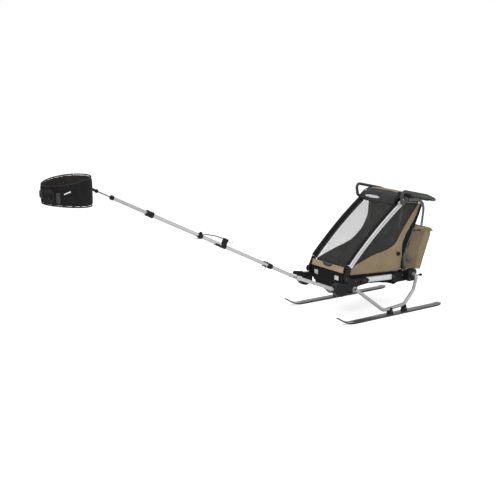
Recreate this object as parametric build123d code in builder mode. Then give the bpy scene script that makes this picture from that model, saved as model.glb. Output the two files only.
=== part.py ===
from build123d import *
from math import degrees, hypot
import os

os.makedirs("parts", exist_ok=True)

# A one-seat child trailer on skis. Forward is -Y, its left side is +X, the ground is Z = 0.

# ---- Driving dimensions, in mm ----
SIDE = 225  # middle plane of each side frame, from the centre plane
CAST_IN, CAST_OUT = 205, 245  # inner and outer faces of the frame castings
WALL_OUT = 213  # outer face of the fabric side walls
WALL = 6  # thickness of the fabric walls

PIVOT_Y, PIVOT_Z = 692, 334  # folding pivot at the foot of each pillar
PILLAR_FOOT = (736, 423)  # where the pillar leaves its foot (Y, Z)
PILLAR_MID = (1004, 681)  # the pillar bows up and forward through this point
PILLAR_TOP = (1298, 908)  # upper end of the pillar (Y, Z)
PILLAR_DEEP, PILLAR_WIDE = 46, 22
PIN_R = 5
PIN_FIT = 0.05  # running fit of the frame pins

HUB_Y, HUB_Z = 1318, 893  # upper pivot of each rear strut
POST_TOP_Z = 446
HANDLE_Y, HANDLE_Z = 1308, 914  # handlebar pivot, on the pillar cap
HANDLE_X, ARM_X = 254, 277  # handlebar pivots and arms, from the centre plane
BAR_Y, BAR_Z = 1623, 884  # crossbar of the handlebar
HANDLE_R = 12.5

RAIL_TALL, RAIL_WIDE = 44, 22
RAIL_FRONT, RAIL_REAR = (880, 298), (1215, 281)

SKI_X = 339  # half of the ski track
SKI_WIDE, SKI_THICK = 62, 14
SKI_TIP_Y, SKI_TIP_Z, SKI_TAIL_Y = 528, 62, 1652
LEG_R = 14
TUBE_WALL = 2  # wall of the bent tubes

JOINT_AT = (187, 224, 409)  # lift joint, where the pole leaves its arm
BELT_AT = (0, -1307, 1180)  # where the pole's link meets the belt
POLE_R, POLE_BORE_R, INNER_R = 14, 12.9, 12.5
FORK_S = 276  # distances along the pole, from the lift joint
CLIP_S, KNOB_S, CLAMP_S, CAP_S = 673, 876, 1294, 1589

BELT_Y, BELT_X = 165, 175  # half axes of the hip belt
BELT_C_Y = -1499
BELT_THICK = 16


def finish(piece, name):
    """Names one finished piece and writes it."""
    piece.label = name
    export_step(piece, f"parts/{name}.step")


def finish_pair(piece, name):
    """Writes a left piece and its mirror image on the right."""
    finish(piece, f"left_{name}")
    finish(mirror(piece, about=Plane.YZ), f"right_{name}")


def finish_both(piece, name):
    """Writes a left piece and its mirror image as one node of two solids."""
    finish(piece + mirror(piece, about=Plane.YZ), name)


def side_plane(x):
    """Plane of a side view at x, its own axes along Y and Z."""
    return Plane(origin=(x, 0, 0), x_dir=(0, 1, 0), z_dir=(1, 0, 0))


PILLAR_ARC = side_plane(SIDE) * ThreePointArc(PILLAR_FOOT, PILLAR_MID, PILLAR_TOP)
PILLAR_RUN = PILLAR_ARC.length
BOW_CENTRE = PILLAR_ARC.arc_center
BOW_ANGLE = degrees(PILLAR_RUN / PILLAR_ARC.radius)


def by_pillar(distance, lift=0.0):
    """Point (Y, Z) that distance along the pillar, lifted at right angles to it."""
    part = min(max(distance / PILLAR_RUN, 0.0), 1.0)
    run = PILLAR_ARC.tangent_at(part)
    at = PILLAR_ARC.position_at(part) + run * (distance - part * PILLAR_RUN)
    return (at.Y - run.Z * lift, at.Z + run.Y * lift)


def pillar_arc(lift, first=0.0, last=None):
    """Arc beside the pillar, between two distances along it."""
    last = PILLAR_RUN if last is None else last
    return ThreePointArc(
        by_pillar(first, lift), by_pillar((first + last) / 2, lift), by_pillar(last, lift)
    )


# ---- Base frame: front corners, rails, rear corners, cross tubes ----

RAIL_LENGTH = hypot(RAIL_REAR[0] - RAIL_FRONT[0], RAIL_REAR[1] - RAIL_FRONT[1])
RAIL_PLANE = Plane(
    origin=(SIDE, *RAIL_FRONT),
    x_dir=(1, 0, 0),
    z_dir=(0, RAIL_REAR[0] - RAIL_FRONT[0], RAIL_REAR[1] - RAIL_FRONT[1]),
)

with BuildPart() as side_rail:
    with BuildSketch(RAIL_PLANE):
        RectangleRounded(RAIL_WIDE, RAIL_TALL, 9)
        RectangleRounded(RAIL_WIDE - 5, RAIL_TALL - 5, 6.5, mode=Mode.SUBTRACT)
    extrude(amount=RAIL_LENGTH)
finish_both(side_rail.part, "side_rails")

with BuildPart() as rail_room:
    with BuildSketch(RAIL_PLANE):
        RectangleRounded(RAIL_WIDE + 0.4, RAIL_TALL + 0.4, 9.2)
    extrude(amount=RAIL_LENGTH)

FOOT_THICK = 17
SLOT = FOOT_THICK + 2
with BuildPart() as front_corner:
    with BuildSketch(side_plane(CAST_IN)):
        with BuildLine():
            Polyline(
                (706, 262), (706, 306), (676, 309), (668, 334), (676, 356), (712, 356),
                (742, 328), (905, 320), (934, 298), (908, 270), (812, 262), (796, 230),
                (752, 226), (742, 262), close=True,
            )
        make_face()
        with Locations((840, 292)):
            Circle(9, mode=Mode.SUBTRACT)
    extrude(amount=CAST_OUT - CAST_IN)
    with BuildSketch(side_plane(SIDE - SLOT / 2)):
        with Locations((PIVOT_Y - 20, PIVOT_Z + 21)):
            Rectangle(132, 96)
    extrude(amount=SLOT, mode=Mode.SUBTRACT)
    with BuildSketch(side_plane(CAST_IN)):
        with Locations((PIVOT_Y, PIVOT_Z)):
            Circle(PIN_R)
    extrude(amount=CAST_OUT - CAST_IN)
    add(rail_room.part, mode=Mode.SUBTRACT)
finish_both(front_corner.part, "front_corners")

with BuildPart() as arm_socket:
    with BuildSketch(side_plane(SIDE - 24)):
        with BuildLine():
            Polyline(
                (574, 242), (574, 296), (612, 310), (660, 303), (704, 300), (704, 224),
                (690, 212), (642, 199), (604, 208), close=True,
            )
        make_face()
    extrude(amount=48)
    fillet(arm_socket.edges().filter_by(Axis.X), 6)

ARM_START = (225, 620, 250)
ARM_AXIS = Vector(*JOINT_AT) - Vector(*ARM_START)
ARM_PLANE = Plane(origin=ARM_START, x_dir=(1, 0, 0), z_dir=ARM_AXIS)
with BuildPart() as arm_room:
    with BuildSketch(ARM_PLANE):
        Circle(POLE_R + 0.2)
    extrude(amount=80)
finish(arm_socket.part - arm_room.part, "left_arm_socket")

# The right socket holds no arm: a short cone points forward from it.
STUB_PLANE = Plane(origin=(-SIDE, 590, 302), x_dir=(1, 0, 0), z_dir=(0, -0.970, 0.242))
with BuildPart() as spare_socket:
    add(mirror(arm_socket.part, about=Plane.YZ))
    with BuildSketch(STUB_PLANE.offset(-20)):
        Circle(22)
    with BuildSketch(STUB_PLANE.offset(64)):
        Circle(15)
    loft()
    with BuildSketch(STUB_PLANE.offset(14)):
        Circle(10)
    extrude(amount=60, mode=Mode.SUBTRACT)
finish(spare_socket.part, "right_arm_socket")

with BuildPart() as front_tube:
    with BuildSketch(side_plane(-CAST_IN)):
        with Locations((726, 288)):
            Circle(12.5)
            Circle(10.5, mode=Mode.SUBTRACT)
    extrude(amount=2 * CAST_IN)
finish(front_tube.part, "front_cross_tube")

with BuildPart() as rear_corner:
    with BuildSketch(side_plane(CAST_IN)):
        with BuildLine():
            Polyline(
                (1188, 252), (1188, 304), (1206, 312), (1352, 312), (1352, 246),
                (1336, 234), (1216, 234), close=True,
            )
        make_face()
    extrude(amount=CAST_OUT - CAST_IN)
    add(rail_room.part, mode=Mode.SUBTRACT)
finish_both(rear_corner.part, "rear_corners")

BOX_OUT = 292
LEG_TOP = (1368, 296)
with BuildPart() as axle_box:
    with BuildSketch(side_plane(CAST_OUT)):
        with BuildLine():
            Polyline(
                (1318, 246), (1318, 312), (1336, 332), (1400, 332), (1414, 318),
                (1414, 250), (1400, 236), (1330, 236), close=True,
            )
        make_face()
    extrude(amount=BOX_OUT - CAST_OUT)
    fillet(axle_box.faces().sort_by(Axis.X)[-1].edges(), 4)
    with BuildSketch(Plane.XZ.offset(-1474)):
        with Locations((268, 268)):
            Circle(5)
    extrude(amount=64)
    with BuildSketch(Plane.XZ.offset(-1492)):
        with Locations((268, 268)):
            RegularPolygon(11, 6)
    extrude(amount=20)
    with BuildSketch(side_plane(270)):
        with Locations(LEG_TOP):
            Circle(LEG_R + 0.2)
    extrude(amount=40, mode=Mode.SUBTRACT)
finish_both(axle_box.part, "axle_boxes")

with BuildPart() as rear_tube:
    with BuildSketch(side_plane(-CAST_IN)):
        with Locations((1322, 272)):
            Circle(16)
            Circle(13, mode=Mode.SUBTRACT)
    extrude(amount=2 * CAST_IN)
finish(rear_tube.part, "rear_cross_tube")

# Grey posts on the rear corners, on which the folded pillars come to rest.
with BuildPart() as rear_post:
    with BuildSketch(side_plane(SIDE - 9)):
        with BuildLine():
            Polyline(
                (1322, 312), (1344, 312), (1337, POST_TOP_Z), (1315, POST_TOP_Z), close=True
            )
        make_face()
    extrude(amount=18)
finish_both(rear_post.part, "rear_posts")

# ---- Skis, their clamps and legs ----

TIP_RUN = 172
FLAT_FRONT = SKI_TIP_Y + TIP_RUN
TAIL_RISE = 12
with BuildPart() as ski:
    with BuildSketch(side_plane(SKI_X - SKI_WIDE / 2)):
        with BuildLine():
            sole = Line((SKI_TAIL_Y - 60, 0), (FLAT_FRONT, 0))
            shovel = TangentArc(sole @ 1, (SKI_TIP_Y, SKI_TIP_Z), tangent=sole % 1)
            tip = Line(shovel @ 1, (SKI_TIP_Y + 5, SKI_TIP_Z + 8))
            inner = TangentArc((FLAT_FRONT, SKI_THICK), tip @ 1, tangent=(-1, 0))
            Line((SKI_TAIL_Y - 60, SKI_THICK), (FLAT_FRONT, SKI_THICK))
            tail = Line((SKI_TAIL_Y - 60, SKI_THICK), (SKI_TAIL_Y, TAIL_RISE + 8))
            Line(tail @ 1, (SKI_TAIL_Y, TAIL_RISE))
            Line((SKI_TAIL_Y, TAIL_RISE), sole @ 0)
        make_face()
    extrude(amount=SKI_WIDE)
    with BuildSketch(Plane.XY):
        with Locations((SKI_X, (SKI_TIP_Y + SKI_TAIL_Y) / 2)):
            SlotOverall(SKI_TAIL_Y - SKI_TIP_Y + 4, SKI_WIDE, rotation=90)
    extrude(amount=100, mode=Mode.INTERSECT)
finish_pair(ski.part, "ski")

LEG_POINTS = [
    (263, 773, 244), (SKI_X, 1008, 52), (SKI_X, 1236, 70), (SKI_X, 1334, 176),
    (SKI_X, *LEG_TOP), (271, *LEG_TOP),
]
with BuildPart() as leg:
    with BuildLine() as leg_path:
        FilletPolyline(*LEG_POINTS, radius=(60, 60, 60, 34))
    with BuildSketch(Plane(origin=leg_path.line @ 0, z_dir=leg_path.line % 0)):
        Circle(LEG_R)
        Circle(LEG_R - TUBE_WALL, mode=Mode.SUBTRACT)
    sweep()
    with BuildSketch(side_plane(CAST_OUT + 0.5)):
        with Locations((773, 246)):
            Circle(19)
    extrude(amount=10)
finish_pair(leg.part, "ski_leg")

with BuildPart() as leg_room:
    with BuildSketch(Plane(origin=leg_path.line @ 0, z_dir=leg_path.line % 0)):
        Circle(LEG_R + 0.2)
    sweep(path=leg_path.line)

with BuildPart() as ski_clamps:
    for clamp_y in (1080, 1235):
        with BuildSketch(Plane.XY.offset(SKI_THICK)):
            with Locations((SKI_X, clamp_y)):
                RectangleRounded(44, 46, 8)
        with BuildSketch(Plane.XY.offset(66)):
            with Locations((SKI_X, clamp_y)):
                RectangleRounded(34, 26, 8)
        loft()
    add(leg_room.part, mode=Mode.SUBTRACT)
finish_both(ski_clamps.part, "ski_clamps")

# ---- Upper frame: pillars, feet, hubs. It folds back about the pillar feet. ----

# Each corner of the profile is eased in two steps, which stay flat along the bow.
PILLAR_END = Plane(origin=PILLAR_ARC @ 0, x_dir=(1, 0, 0), z_dir=PILLAR_ARC % 0)
with BuildSketch(mode=Mode.PRIVATE) as pillar_bore:
    Rectangle(PILLAR_WIDE - 9, PILLAR_DEEP - 5)
    chamfer(pillar_bore.vertices(), 3.5)

with BuildPart() as pillar:
    with BuildSketch(PILLAR_END) as profile:
        Rectangle(PILLAR_WIDE, PILLAR_DEEP)
        chamfer(profile.vertices(), 5.8)
        chamfer(profile.vertices(), 2.2)
        with Locations((PILLAR_WIDE / 2, 0), (-PILLAR_WIDE / 2, 0)):
            Rectangle(4, 12, mode=Mode.SUBTRACT)
        add(pillar_bore.sketch, mode=Mode.SUBTRACT)
    revolve(axis=Axis(BOW_CENTRE, (-1, 0, 0)), revolution_arc=BOW_ANGLE)
finish_pair(pillar.part, "pillar")

with BuildPart() as foot:
    with BuildSketch(side_plane(SIDE - FOOT_THICK / 2)):
        with BuildLine():
            Polyline(
                by_pillar(-0.3, PILLAR_DEEP / 2 - 2), by_pillar(-0.3, 2 - PILLAR_DEEP / 2),
                (PIVOT_Y + 15, PIVOT_Z - 8), (PIVOT_Y - 15, PIVOT_Z + 8), close=True,
            )
        make_face()
        with Locations((PIVOT_Y, PIVOT_Z)):
            Circle(17)
            Circle(PIN_R + PIN_FIT, mode=Mode.SUBTRACT)
    extrude(amount=FOOT_THICK)
finish_both(foot.part, "pillar_feet")

# Top caps: each closes a pillar and carries the pivot pin of the rear strut on its inner side.
STRUT_X = 193
STRUT_THICK = 16
PIN_INNER = STRUT_X - STRUT_THICK / 2 - 4
with BuildPart() as top_cap:
    with BuildSketch(side_plane(SIDE - PILLAR_WIDE / 2)):
        with BuildLine():
            Polyline(
                by_pillar(PILLAR_RUN + 0.2, PILLAR_DEEP / 2),
                by_pillar(PILLAR_RUN + 34, PILLAR_DEEP / 2 - 10),
                by_pillar(PILLAR_RUN + 34, 4 - PILLAR_DEEP / 2),
                (HUB_Y + 10, HUB_Z - 10),
                by_pillar(PILLAR_RUN + 0.2, -PILLAR_DEEP / 2 - 6),
                close=True,
            )
        make_face()
    extrude(amount=PILLAR_WIDE)
    with BuildSketch(side_plane(PIN_INNER)):
        with Locations((HUB_Y, HUB_Z)):
            Circle(PIN_R)
    extrude(amount=SIDE - PILLAR_WIDE / 2 + 2 - PIN_INNER)
finish_both(top_cap.part, "pillar_caps")

# Handlebar brackets: a round boss outside each cap, with the pin that the handlebar turns on.
BOSS_X = SIDE + PILLAR_WIDE / 2 + 0.2
BOSS_THICK = 5
BOSS_R = 17
with BuildPart() as handle_bracket:
    with BuildSketch(side_plane(BOSS_X)):
        with Locations((HANDLE_Y, HANDLE_Z)):
            Circle(BOSS_R)
    extrude(amount=BOSS_THICK)
    with BuildSketch(side_plane(BOSS_X)):
        with Locations((HANDLE_Y, HANDLE_Z)):
            Circle(6)
    extrude(amount=HANDLE_X + 12 - BOSS_X)
finish_both(handle_bracket.part, "handle_brackets")

# ---- Rear hoop: a cross tube between the pillar caps, with a strut down each side ----

STRUT_END = (1280, 462)
with BuildPart() as hoop:
    for inner in (STRUT_X - STRUT_THICK / 2, -STRUT_X - STRUT_THICK / 2):
        with BuildSketch(side_plane(inner)):
            with BuildLine():
                Polyline(
                    (HUB_Y - 10, HUB_Z), (HUB_Y + 10, HUB_Z),
                    (STRUT_END[0] + 10, STRUT_END[1]), (STRUT_END[0] - 10, STRUT_END[1]),
                    close=True,
                )
            make_face()
            with Locations((HUB_Y, HUB_Z)):
                Circle(13)
            with Locations(STRUT_END):
                Circle(10)
        extrude(amount=STRUT_THICK)
    with BuildSketch(side_plane(-STRUT_X)):
        with Locations((HUB_Y, HUB_Z)):
            Circle(9)
    extrude(amount=2 * STRUT_X)
    with BuildSketch(side_plane(-STRUT_X - STRUT_THICK)):
        with Locations((HUB_Y, HUB_Z)):
            Circle(PIN_R + PIN_FIT)
    extrude(amount=2 * (STRUT_X + STRUT_THICK), mode=Mode.SUBTRACT)
finish(hoop.part, "rear_hoop")

# ---- Handlebar: a U that turns on the bracket pins ----

ARM_CORNER, ARM_DROP = (1226, 997), (1505, 935)
with BuildPart() as handlebar:
    with BuildLine() as handle_path:
        FilletPolyline(
            (HANDLE_X, HANDLE_Y, HANDLE_Z), (264, 1234, 874), (ARM_X, *ARM_CORNER),
            (ARM_X, *ARM_DROP), (ARM_X, BAR_Y, BAR_Z), (-ARM_X, BAR_Y, BAR_Z),
            (-ARM_X, *ARM_DROP), (-ARM_X, *ARM_CORNER), (-264, 1234, 874),
            (-HANDLE_X, HANDLE_Y, HANDLE_Z),
            radius=(26, 30, 60, 48, 48, 60, 30, 26),
        )
    with BuildSketch(Plane(origin=handle_path.line @ 0, z_dir=handle_path.line % 0)):
        Circle(HANDLE_R)
        Circle(HANDLE_R - TUBE_WALL, mode=Mode.SUBTRACT)
    sweep()
    for side in (1, -1):
        with BuildSketch(side_plane(side * HANDLE_X - HANDLE_R)):
            with Locations((HANDLE_Y, HANDLE_Z)):
                Circle(17)
        extrude(amount=2 * HANDLE_R)
    for side in (1, -1):
        with BuildSketch(side_plane(side * HANDLE_X - HANDLE_R - 1)):
            with Locations((HANDLE_Y, HANDLE_Z)):
                Circle(6.05)
        extrude(amount=2 * (HANDLE_R + 1), mode=Mode.SUBTRACT)
finish(handlebar.part, "handlebar")

with BuildPart() as grip:
    with BuildSketch(side_plane(-190)):
        with Locations((BAR_Y, BAR_Z)):
            Circle(18)
            Circle(HANDLE_R + 0.1, mode=Mode.SUBTRACT)
    extrude(amount=380)
finish(grip.part, "handlebar_grip")

# A webbing strap runs from the left pivot and hangs down under the arm.
STRAP_X = HANDLE_X + HANDLE_R + 1
with BuildPart() as strap:
    with BuildSketch(side_plane(STRAP_X)):
        with BuildLine():
            Polyline(
                (1320, 903), (1320, 925), (1442, 911), (1490, 862), (1476, 682), (1456, 682),
                (1468, 852), (1432, 889), close=True,
            )
        make_face()
    extrude(amount=2.4)
finish(strap.part, "wrist_strap")

# ---- Cabin: fabric walls, mesh windows, roof, seat ----

WINDOW_EDGE = [
    (768, 420), (887, 456), (1013, 493), (1111, 510), (1179, 529), (1230, 556), (1278, 622),
    (1312, 668), (1398, 775), (1445, 828), (1471, 869),
]
with BuildPart() as wall_blank:
    with BuildSketch(side_plane(WALL_OUT - WALL)):
        with BuildLine():
            front = pillar_arc(-PILLAR_DEEP / 2, 4, PILLAR_RUN - 14)
            Polyline(
                front @ 0, (752, 352), (1336, 316), (1345, 530), (1395, 620), (1440, 700),
                (1528, 858), (1471, 869), (1359, 881), front @ 1,
            )
        make_face()
    extrude(amount=WALL)

with BuildPart() as window_blank:
    with BuildSketch(side_plane(WALL_OUT - WALL)):
        with BuildLine():
            Polyline(*WINDOW_EDGE, (1471, 935), (1240, 935), (700, 435), close=True)
        make_face()
    extrude(amount=WALL)

finish_pair(wall_blank.part - window_blank.part, "side_wall")
finish_both(wall_blank.part & window_blank.part, "side_windows")

BAND_HALF = 197
with BuildPart() as band:
    with BuildSketch(side_plane(-BAND_HALF)):
        with BuildLine():
            Polyline((687, 368), (704, 428), (711, 426), (694, 366), close=True)
        make_face()
    extrude(amount=2 * BAND_HALF)
finish(band.part, "front_band")

with BuildPart() as front_panel:
    with BuildSketch(side_plane(-200)):
        with BuildLine():
            Polyline((687, 365), (694, 227), (700, 227), (693, 365), close=True)
        make_face()
    extrude(amount=400)
    with BuildSketch(Plane.XZ.offset(-640)):
        with BuildLine():
            Polyline(
                (-196, 370), (196, 370), (190, 330), (146, 220), (-146, 220), (-190, 330),
                close=True,
            )
        make_face()
    extrude(amount=-80, mode=Mode.INTERSECT)
finish(front_panel.part, "front_panel")

MESH_HALF = 206
with BuildPart() as front_mesh:
    with BuildSketch(side_plane(-MESH_HALF)):
        with BuildLine():
            inside = pillar_arc(10, -12, PILLAR_RUN - 92)
            outside = pillar_arc(14, -12, PILLAR_RUN - 92)
            Line(inside @ 0, outside @ 0)
            Line(inside @ 1, outside @ 1)
        make_face()
    extrude(amount=2 * MESH_HALF)
finish(front_mesh.part, "front_mesh")

VISOR_HALF = 205
with BuildPart() as visor:
    with BuildSketch(side_plane(-VISOR_HALF)):
        with BuildLine():
            Polyline(
                (1212, 874), (1276, 968), (1330, 974), (1330, 968), (1280, 962), (1218, 871),
                close=True,
            )
        make_face()
    extrude(amount=2 * VISOR_HALF)
finish(visor.part, "roof_visor")

with BuildPart() as roof:
    with BuildSketch(side_plane(-VISOR_HALF)):
        with BuildLine():
            Polyline(
                (1331, 974), (1420, 950), (1506, 884), (1502, 879), (1417, 944), (1331, 968),
                close=True,
            )
        make_face()
    extrude(amount=2 * VISOR_HALF)
finish(roof.part, "roof_panel")

with BuildPart() as rear_wall:
    with BuildSketch(side_plane(-VISOR_HALF)):
        with BuildLine():
            Polyline(
                (1302, 330), (1302, 536), (1506, 872), (1513, 868), (1310, 532), (1310, 330),
                close=True,
            )
        make_face()
    extrude(amount=2 * VISOR_HALF)
finish(rear_wall.part, "rear_wall")

with BuildPart() as floor:
    with BuildSketch(side_plane(-200)):
        with BuildLine():
            Polyline(
                (746, 262), (1000, 250), (1100, 240), (1180, 222), (1255, 203), (1288, 222),
                (1288, 250), (1282, 250), (1282, 225), (1254, 209), (1181, 228), (1101, 246),
                (1001, 256), (746, 268), close=True,
            )
        make_face()
    extrude(amount=400)
finish(floor.part, "floor_sling")

with BuildPart() as seat:
    with BuildSketch(side_plane(-160)):
        with BuildLine():
            Polyline(
                (960, 262), (1101, 249), (1180, 232), (1240, 217), (1262, 262), (980, 312),
                close=True,
            )
        make_face()
    extrude(amount=320)
    fillet(seat.edges().filter_by(Axis.X), 12)
finish(seat.part, "seat_cushion")

with BuildPart() as backrest:
    with BuildSketch(side_plane(-160)):
        with BuildLine():
            Polyline(
                (1266, 290), (1266, 542), (1440, 826), (1462, 812), (1290, 536), (1290, 290),
                close=True,
            )
        make_face()
    extrude(amount=320)
finish(backrest.part, "backrest")

# Cargo bag: an open fabric box behind the rear wall, under a flap.
BAG_HALF = 190
BAG_SKIN = 4
BAG_SIDE = [(1320, 322), (1542, 306), (1646, 534), (1662, 622), (1500, 656), (1412, 660), (1320, 534)]
with BuildPart() as bag:
    with BuildSketch(side_plane(-BAG_HALF)):
        with BuildLine():
            Polyline(*BAG_SIDE, close=True)
        make_face()
    extrude(amount=2 * BAG_HALF)
    with BuildSketch(side_plane(-BAG_HALF + BAG_SKIN)):
        with BuildLine():
            Polyline(*BAG_SIDE, close=True)
        make_face()
        offset(amount=-BAG_SKIN, kind=Kind.INTERSECTION)
        with BuildLine():
            Polyline((1430, 600), (1650, 600), (1656.8, 660), (1412, 680), close=True)
        make_face()
    extrude(amount=2 * (BAG_HALF - BAG_SKIN), mode=Mode.SUBTRACT)
finish(bag.part, "cargo_bag")

with BuildPart() as flap:
    with BuildSketch(side_plane(-BAG_HALF)):
        with BuildLine():
            Polyline(
                (1410, 661), (1410, 667), (1501, 663), (1664, 628.6), (1664, 622.6), (1500, 657),
                close=True,
            )
        make_face()
    extrude(amount=2 * BAG_HALF)
finish(flap.part, "bag_flap")

# ---- Pulling pole. Its own frame: X to the side, Y up, Z along it from the lift joint. ----

POLE_VECTOR = Vector(*BELT_AT) - Vector(*JOINT_AT)
POLE_DIR = POLE_VECTOR.normalized()
POLE_SIDE = Vector(0, 0, 1).cross(POLE_DIR).normalized()
POLE = Plane(origin=JOINT_AT, x_dir=POLE_SIDE, z_dir=POLE_DIR)


def side_of_pole(s, x):
    """Plane across the lift axis at x, its own X along the pole, its origin s along it."""
    return Plane(origin=POLE.from_local_coords(Vector(x, 0, s)), x_dir=POLE_DIR, z_dir=POLE_SIDE)


def top_of_pole(s, y):
    """Plane across the fold axis at height y, its own X along the pole, its origin s along it."""
    return Plane(origin=POLE.from_local_coords(Vector(0, y, s)), x_dir=POLE_DIR, z_dir=POLE.y_dir)


PRONG_IN, PRONG_OUT = 9, 16  # faces of each fork prong, from the fork's middle
TONGUE = 2 * PRONG_IN - 1
EYE_R = 14
COLLAR_R = 17
THROAT = 24  # from a fork's pin to its solid base
SHANK = 50  # from a fork's pin to the tube it holds
POLE_PIN_R = 4

ARM_LENGTH = ARM_AXIS.length
with BuildPart() as arm_tube:
    with BuildSketch(ARM_PLANE):
        Circle(POLE_R)
        Circle(POLE_BORE_R, mode=Mode.SUBTRACT)
    extrude(amount=ARM_LENGTH - SHANK)
finish(arm_tube.part, "arm_tube")

# Lift joint: a fork on the arm, whose pin carries a clamping lever on its outer side.
ARM_SIDE = Plane(origin=JOINT_AT, x_dir=-ARM_AXIS, z_dir=POLE_SIDE)
with BuildPart() as lift_fork:
    with BuildSketch(ARM_PLANE.offset(ARM_LENGTH - SHANK)):
        Circle(COLLAR_R)
    extrude(amount=SHANK - THROAT)
    for inner in (PRONG_IN, -PRONG_OUT):
        with BuildSketch(ARM_SIDE.offset(inner)):
            Circle(EYE_R)
            with Locations((THROAT / 2 + 1, 0)):
                Rectangle(THROAT + 2, 2 * EYE_R)
        extrude(amount=PRONG_OUT - PRONG_IN)
    with BuildSketch(ARM_SIDE.offset(-PRONG_OUT - 2)):
        Circle(POLE_PIN_R)
    extrude(amount=2 * PRONG_OUT + 6)
    with BuildSketch(ARM_SIDE.offset(PRONG_OUT + 1)):
        with BuildLine():
            Polyline((-7, -7), (-7, 7), (6, 14), (44, 22), (46, 14), (10, -6), close=True)
        make_face()
    extrude(amount=7)
finish(lift_fork.part, "lift_fork")

with BuildPart() as lift_tongue:
    with BuildSketch(side_of_pole(0, -TONGUE / 2)):
        Circle(EYE_R)
        with Locations((THROAT / 2 + 4, 0)):
            Rectangle(THROAT + 8, 2 * EYE_R - 4)
        Circle(POLE_PIN_R + PIN_FIT, mode=Mode.SUBTRACT)
    extrude(amount=TONGUE)
    with BuildSketch(POLE.offset(THROAT + 6)):
        Circle(COLLAR_R)
    extrude(amount=SHANK - THROAT - 6)
finish(lift_tongue.part, "lift_tongue")

with BuildPart() as rear_tube_of_pole:
    with BuildSketch(POLE.offset(SHANK)):
        Circle(POLE_R)
        Circle(POLE_BORE_R, mode=Mode.SUBTRACT)
    extrude(amount=FORK_S - 2 * SHANK)
finish(rear_tube_of_pole.part, "rear_pole_tube")

# Swing joint: a long fork with upper and lower prongs, seen from the side as a U. The main tube's
# rounded end turns between them.
JAW_IN, JAW_OUT = 14.6, 20.6
JAW_REACH = 20  # of the prongs past the pin
with BuildPart() as swing_fork:
    with BuildSketch(POLE.offset(FORK_S - SHANK)):
        Circle(JAW_OUT - 1)
    extrude(amount=SHANK - THROAT)
    for inner in (JAW_IN, -JAW_OUT):
        with BuildSketch(top_of_pole(FORK_S, inner)):
            with Locations((JAW_REACH, 0)):
                Circle(EYE_R)
            with Locations(((JAW_REACH - THROAT) / 2 - 3, 0)):
                Rectangle(JAW_REACH + THROAT + 6, 2 * EYE_R)
        extrude(amount=JAW_OUT - JAW_IN)
    with BuildSketch(top_of_pole(FORK_S, -JAW_OUT - 2)):
        Circle(POLE_PIN_R)
    extrude(amount=2 * JAW_OUT + 4)
finish(swing_fork.part, "swing_fork")

with BuildPart() as swing_tongue:
    with BuildSketch(top_of_pole(FORK_S, -POLE_R)):
        Circle(EYE_R)
        with Locations((SHANK / 2, 0)):
            Rectangle(SHANK, 2 * EYE_R)
        Circle(POLE_PIN_R + PIN_FIT, mode=Mode.SUBTRACT)
    extrude(amount=2 * POLE_R)
    with BuildSketch(POLE.offset(FORK_S - EYE_R - 1)):
        Circle(POLE_R)
    extrude(amount=SHANK + EYE_R + 1, mode=Mode.INTERSECT)
finish(swing_tongue.part, "swing_tongue")

MAIN_END = CLAMP_S + 10
with BuildPart() as main_tube:
    with BuildSketch(POLE.offset(FORK_S + SHANK)):
        Circle(POLE_R)
        Circle(POLE_BORE_R, mode=Mode.SUBTRACT)
    extrude(amount=MAIN_END - FORK_S - SHANK)
finish(main_tube.part, "main_pole_tube")

# Storage clip: an upright block on the tube, with a half-round tail under it.
CLIP_LONG, CLIP_WIDE, CLIP_TOP = 40, 18, 58
TAIL_LONG = 48
with BuildPart() as clip:
    with BuildSketch(POLE.offset(CLIP_S - CLIP_LONG / 2)):
        Circle(POLE_R + 5)
        with Locations((0, CLIP_TOP - 26)):
            RectangleRounded(CLIP_WIDE, 52, 6)
        Circle(POLE_R + 0.1, mode=Mode.SUBTRACT)
    extrude(amount=CLIP_LONG)
    with BuildSketch(POLE.offset(CLIP_S + CLIP_LONG / 2)):
        Circle(POLE_R + 4)
        Circle(POLE_R + 0.1, mode=Mode.SUBTRACT)
        with Locations((0, POLE_R)):
            Rectangle(4 * POLE_R, 2 * POLE_R, mode=Mode.SUBTRACT)
    extrude(amount=TAIL_LONG)
finish(clip.part, "pole_clip")

KNOB_LONG = 34
with BuildPart() as knob:
    with BuildSketch(POLE.offset(KNOB_S - KNOB_LONG / 2)):
        Circle(POLE_R + 5)
        Circle(POLE_R + 0.1, mode=Mode.SUBTRACT)
    extrude(amount=KNOB_LONG)
    with BuildSketch(top_of_pole(KNOB_S, POLE_R + 2)):
        Circle(12)
    extrude(amount=13)
finish(knob.part, "pole_knob")

# A short tether runs from the knob's collar up to the clip.
TETHER_R = 2.2
TETHER = [(17, -1), (31, -40), (41, -84), (47, -128), (49, -165.8)]  # height, distance from the knob
with BuildPart() as tether:
    with BuildLine(Plane(origin=POLE.from_local_coords(Vector(0, 0, KNOB_S - KNOB_LONG / 2)),
                         x_dir=POLE.y_dir, z_dir=POLE_SIDE)) as tether_path:
        FilletPolyline(*TETHER, radius=(60, 80, 120))
    with BuildSketch(Plane(origin=tether_path.line @ 0, z_dir=tether_path.line % 0)):
        Circle(TETHER_R)
    sweep()
finish(tether.part, "pole_tether")

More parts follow.
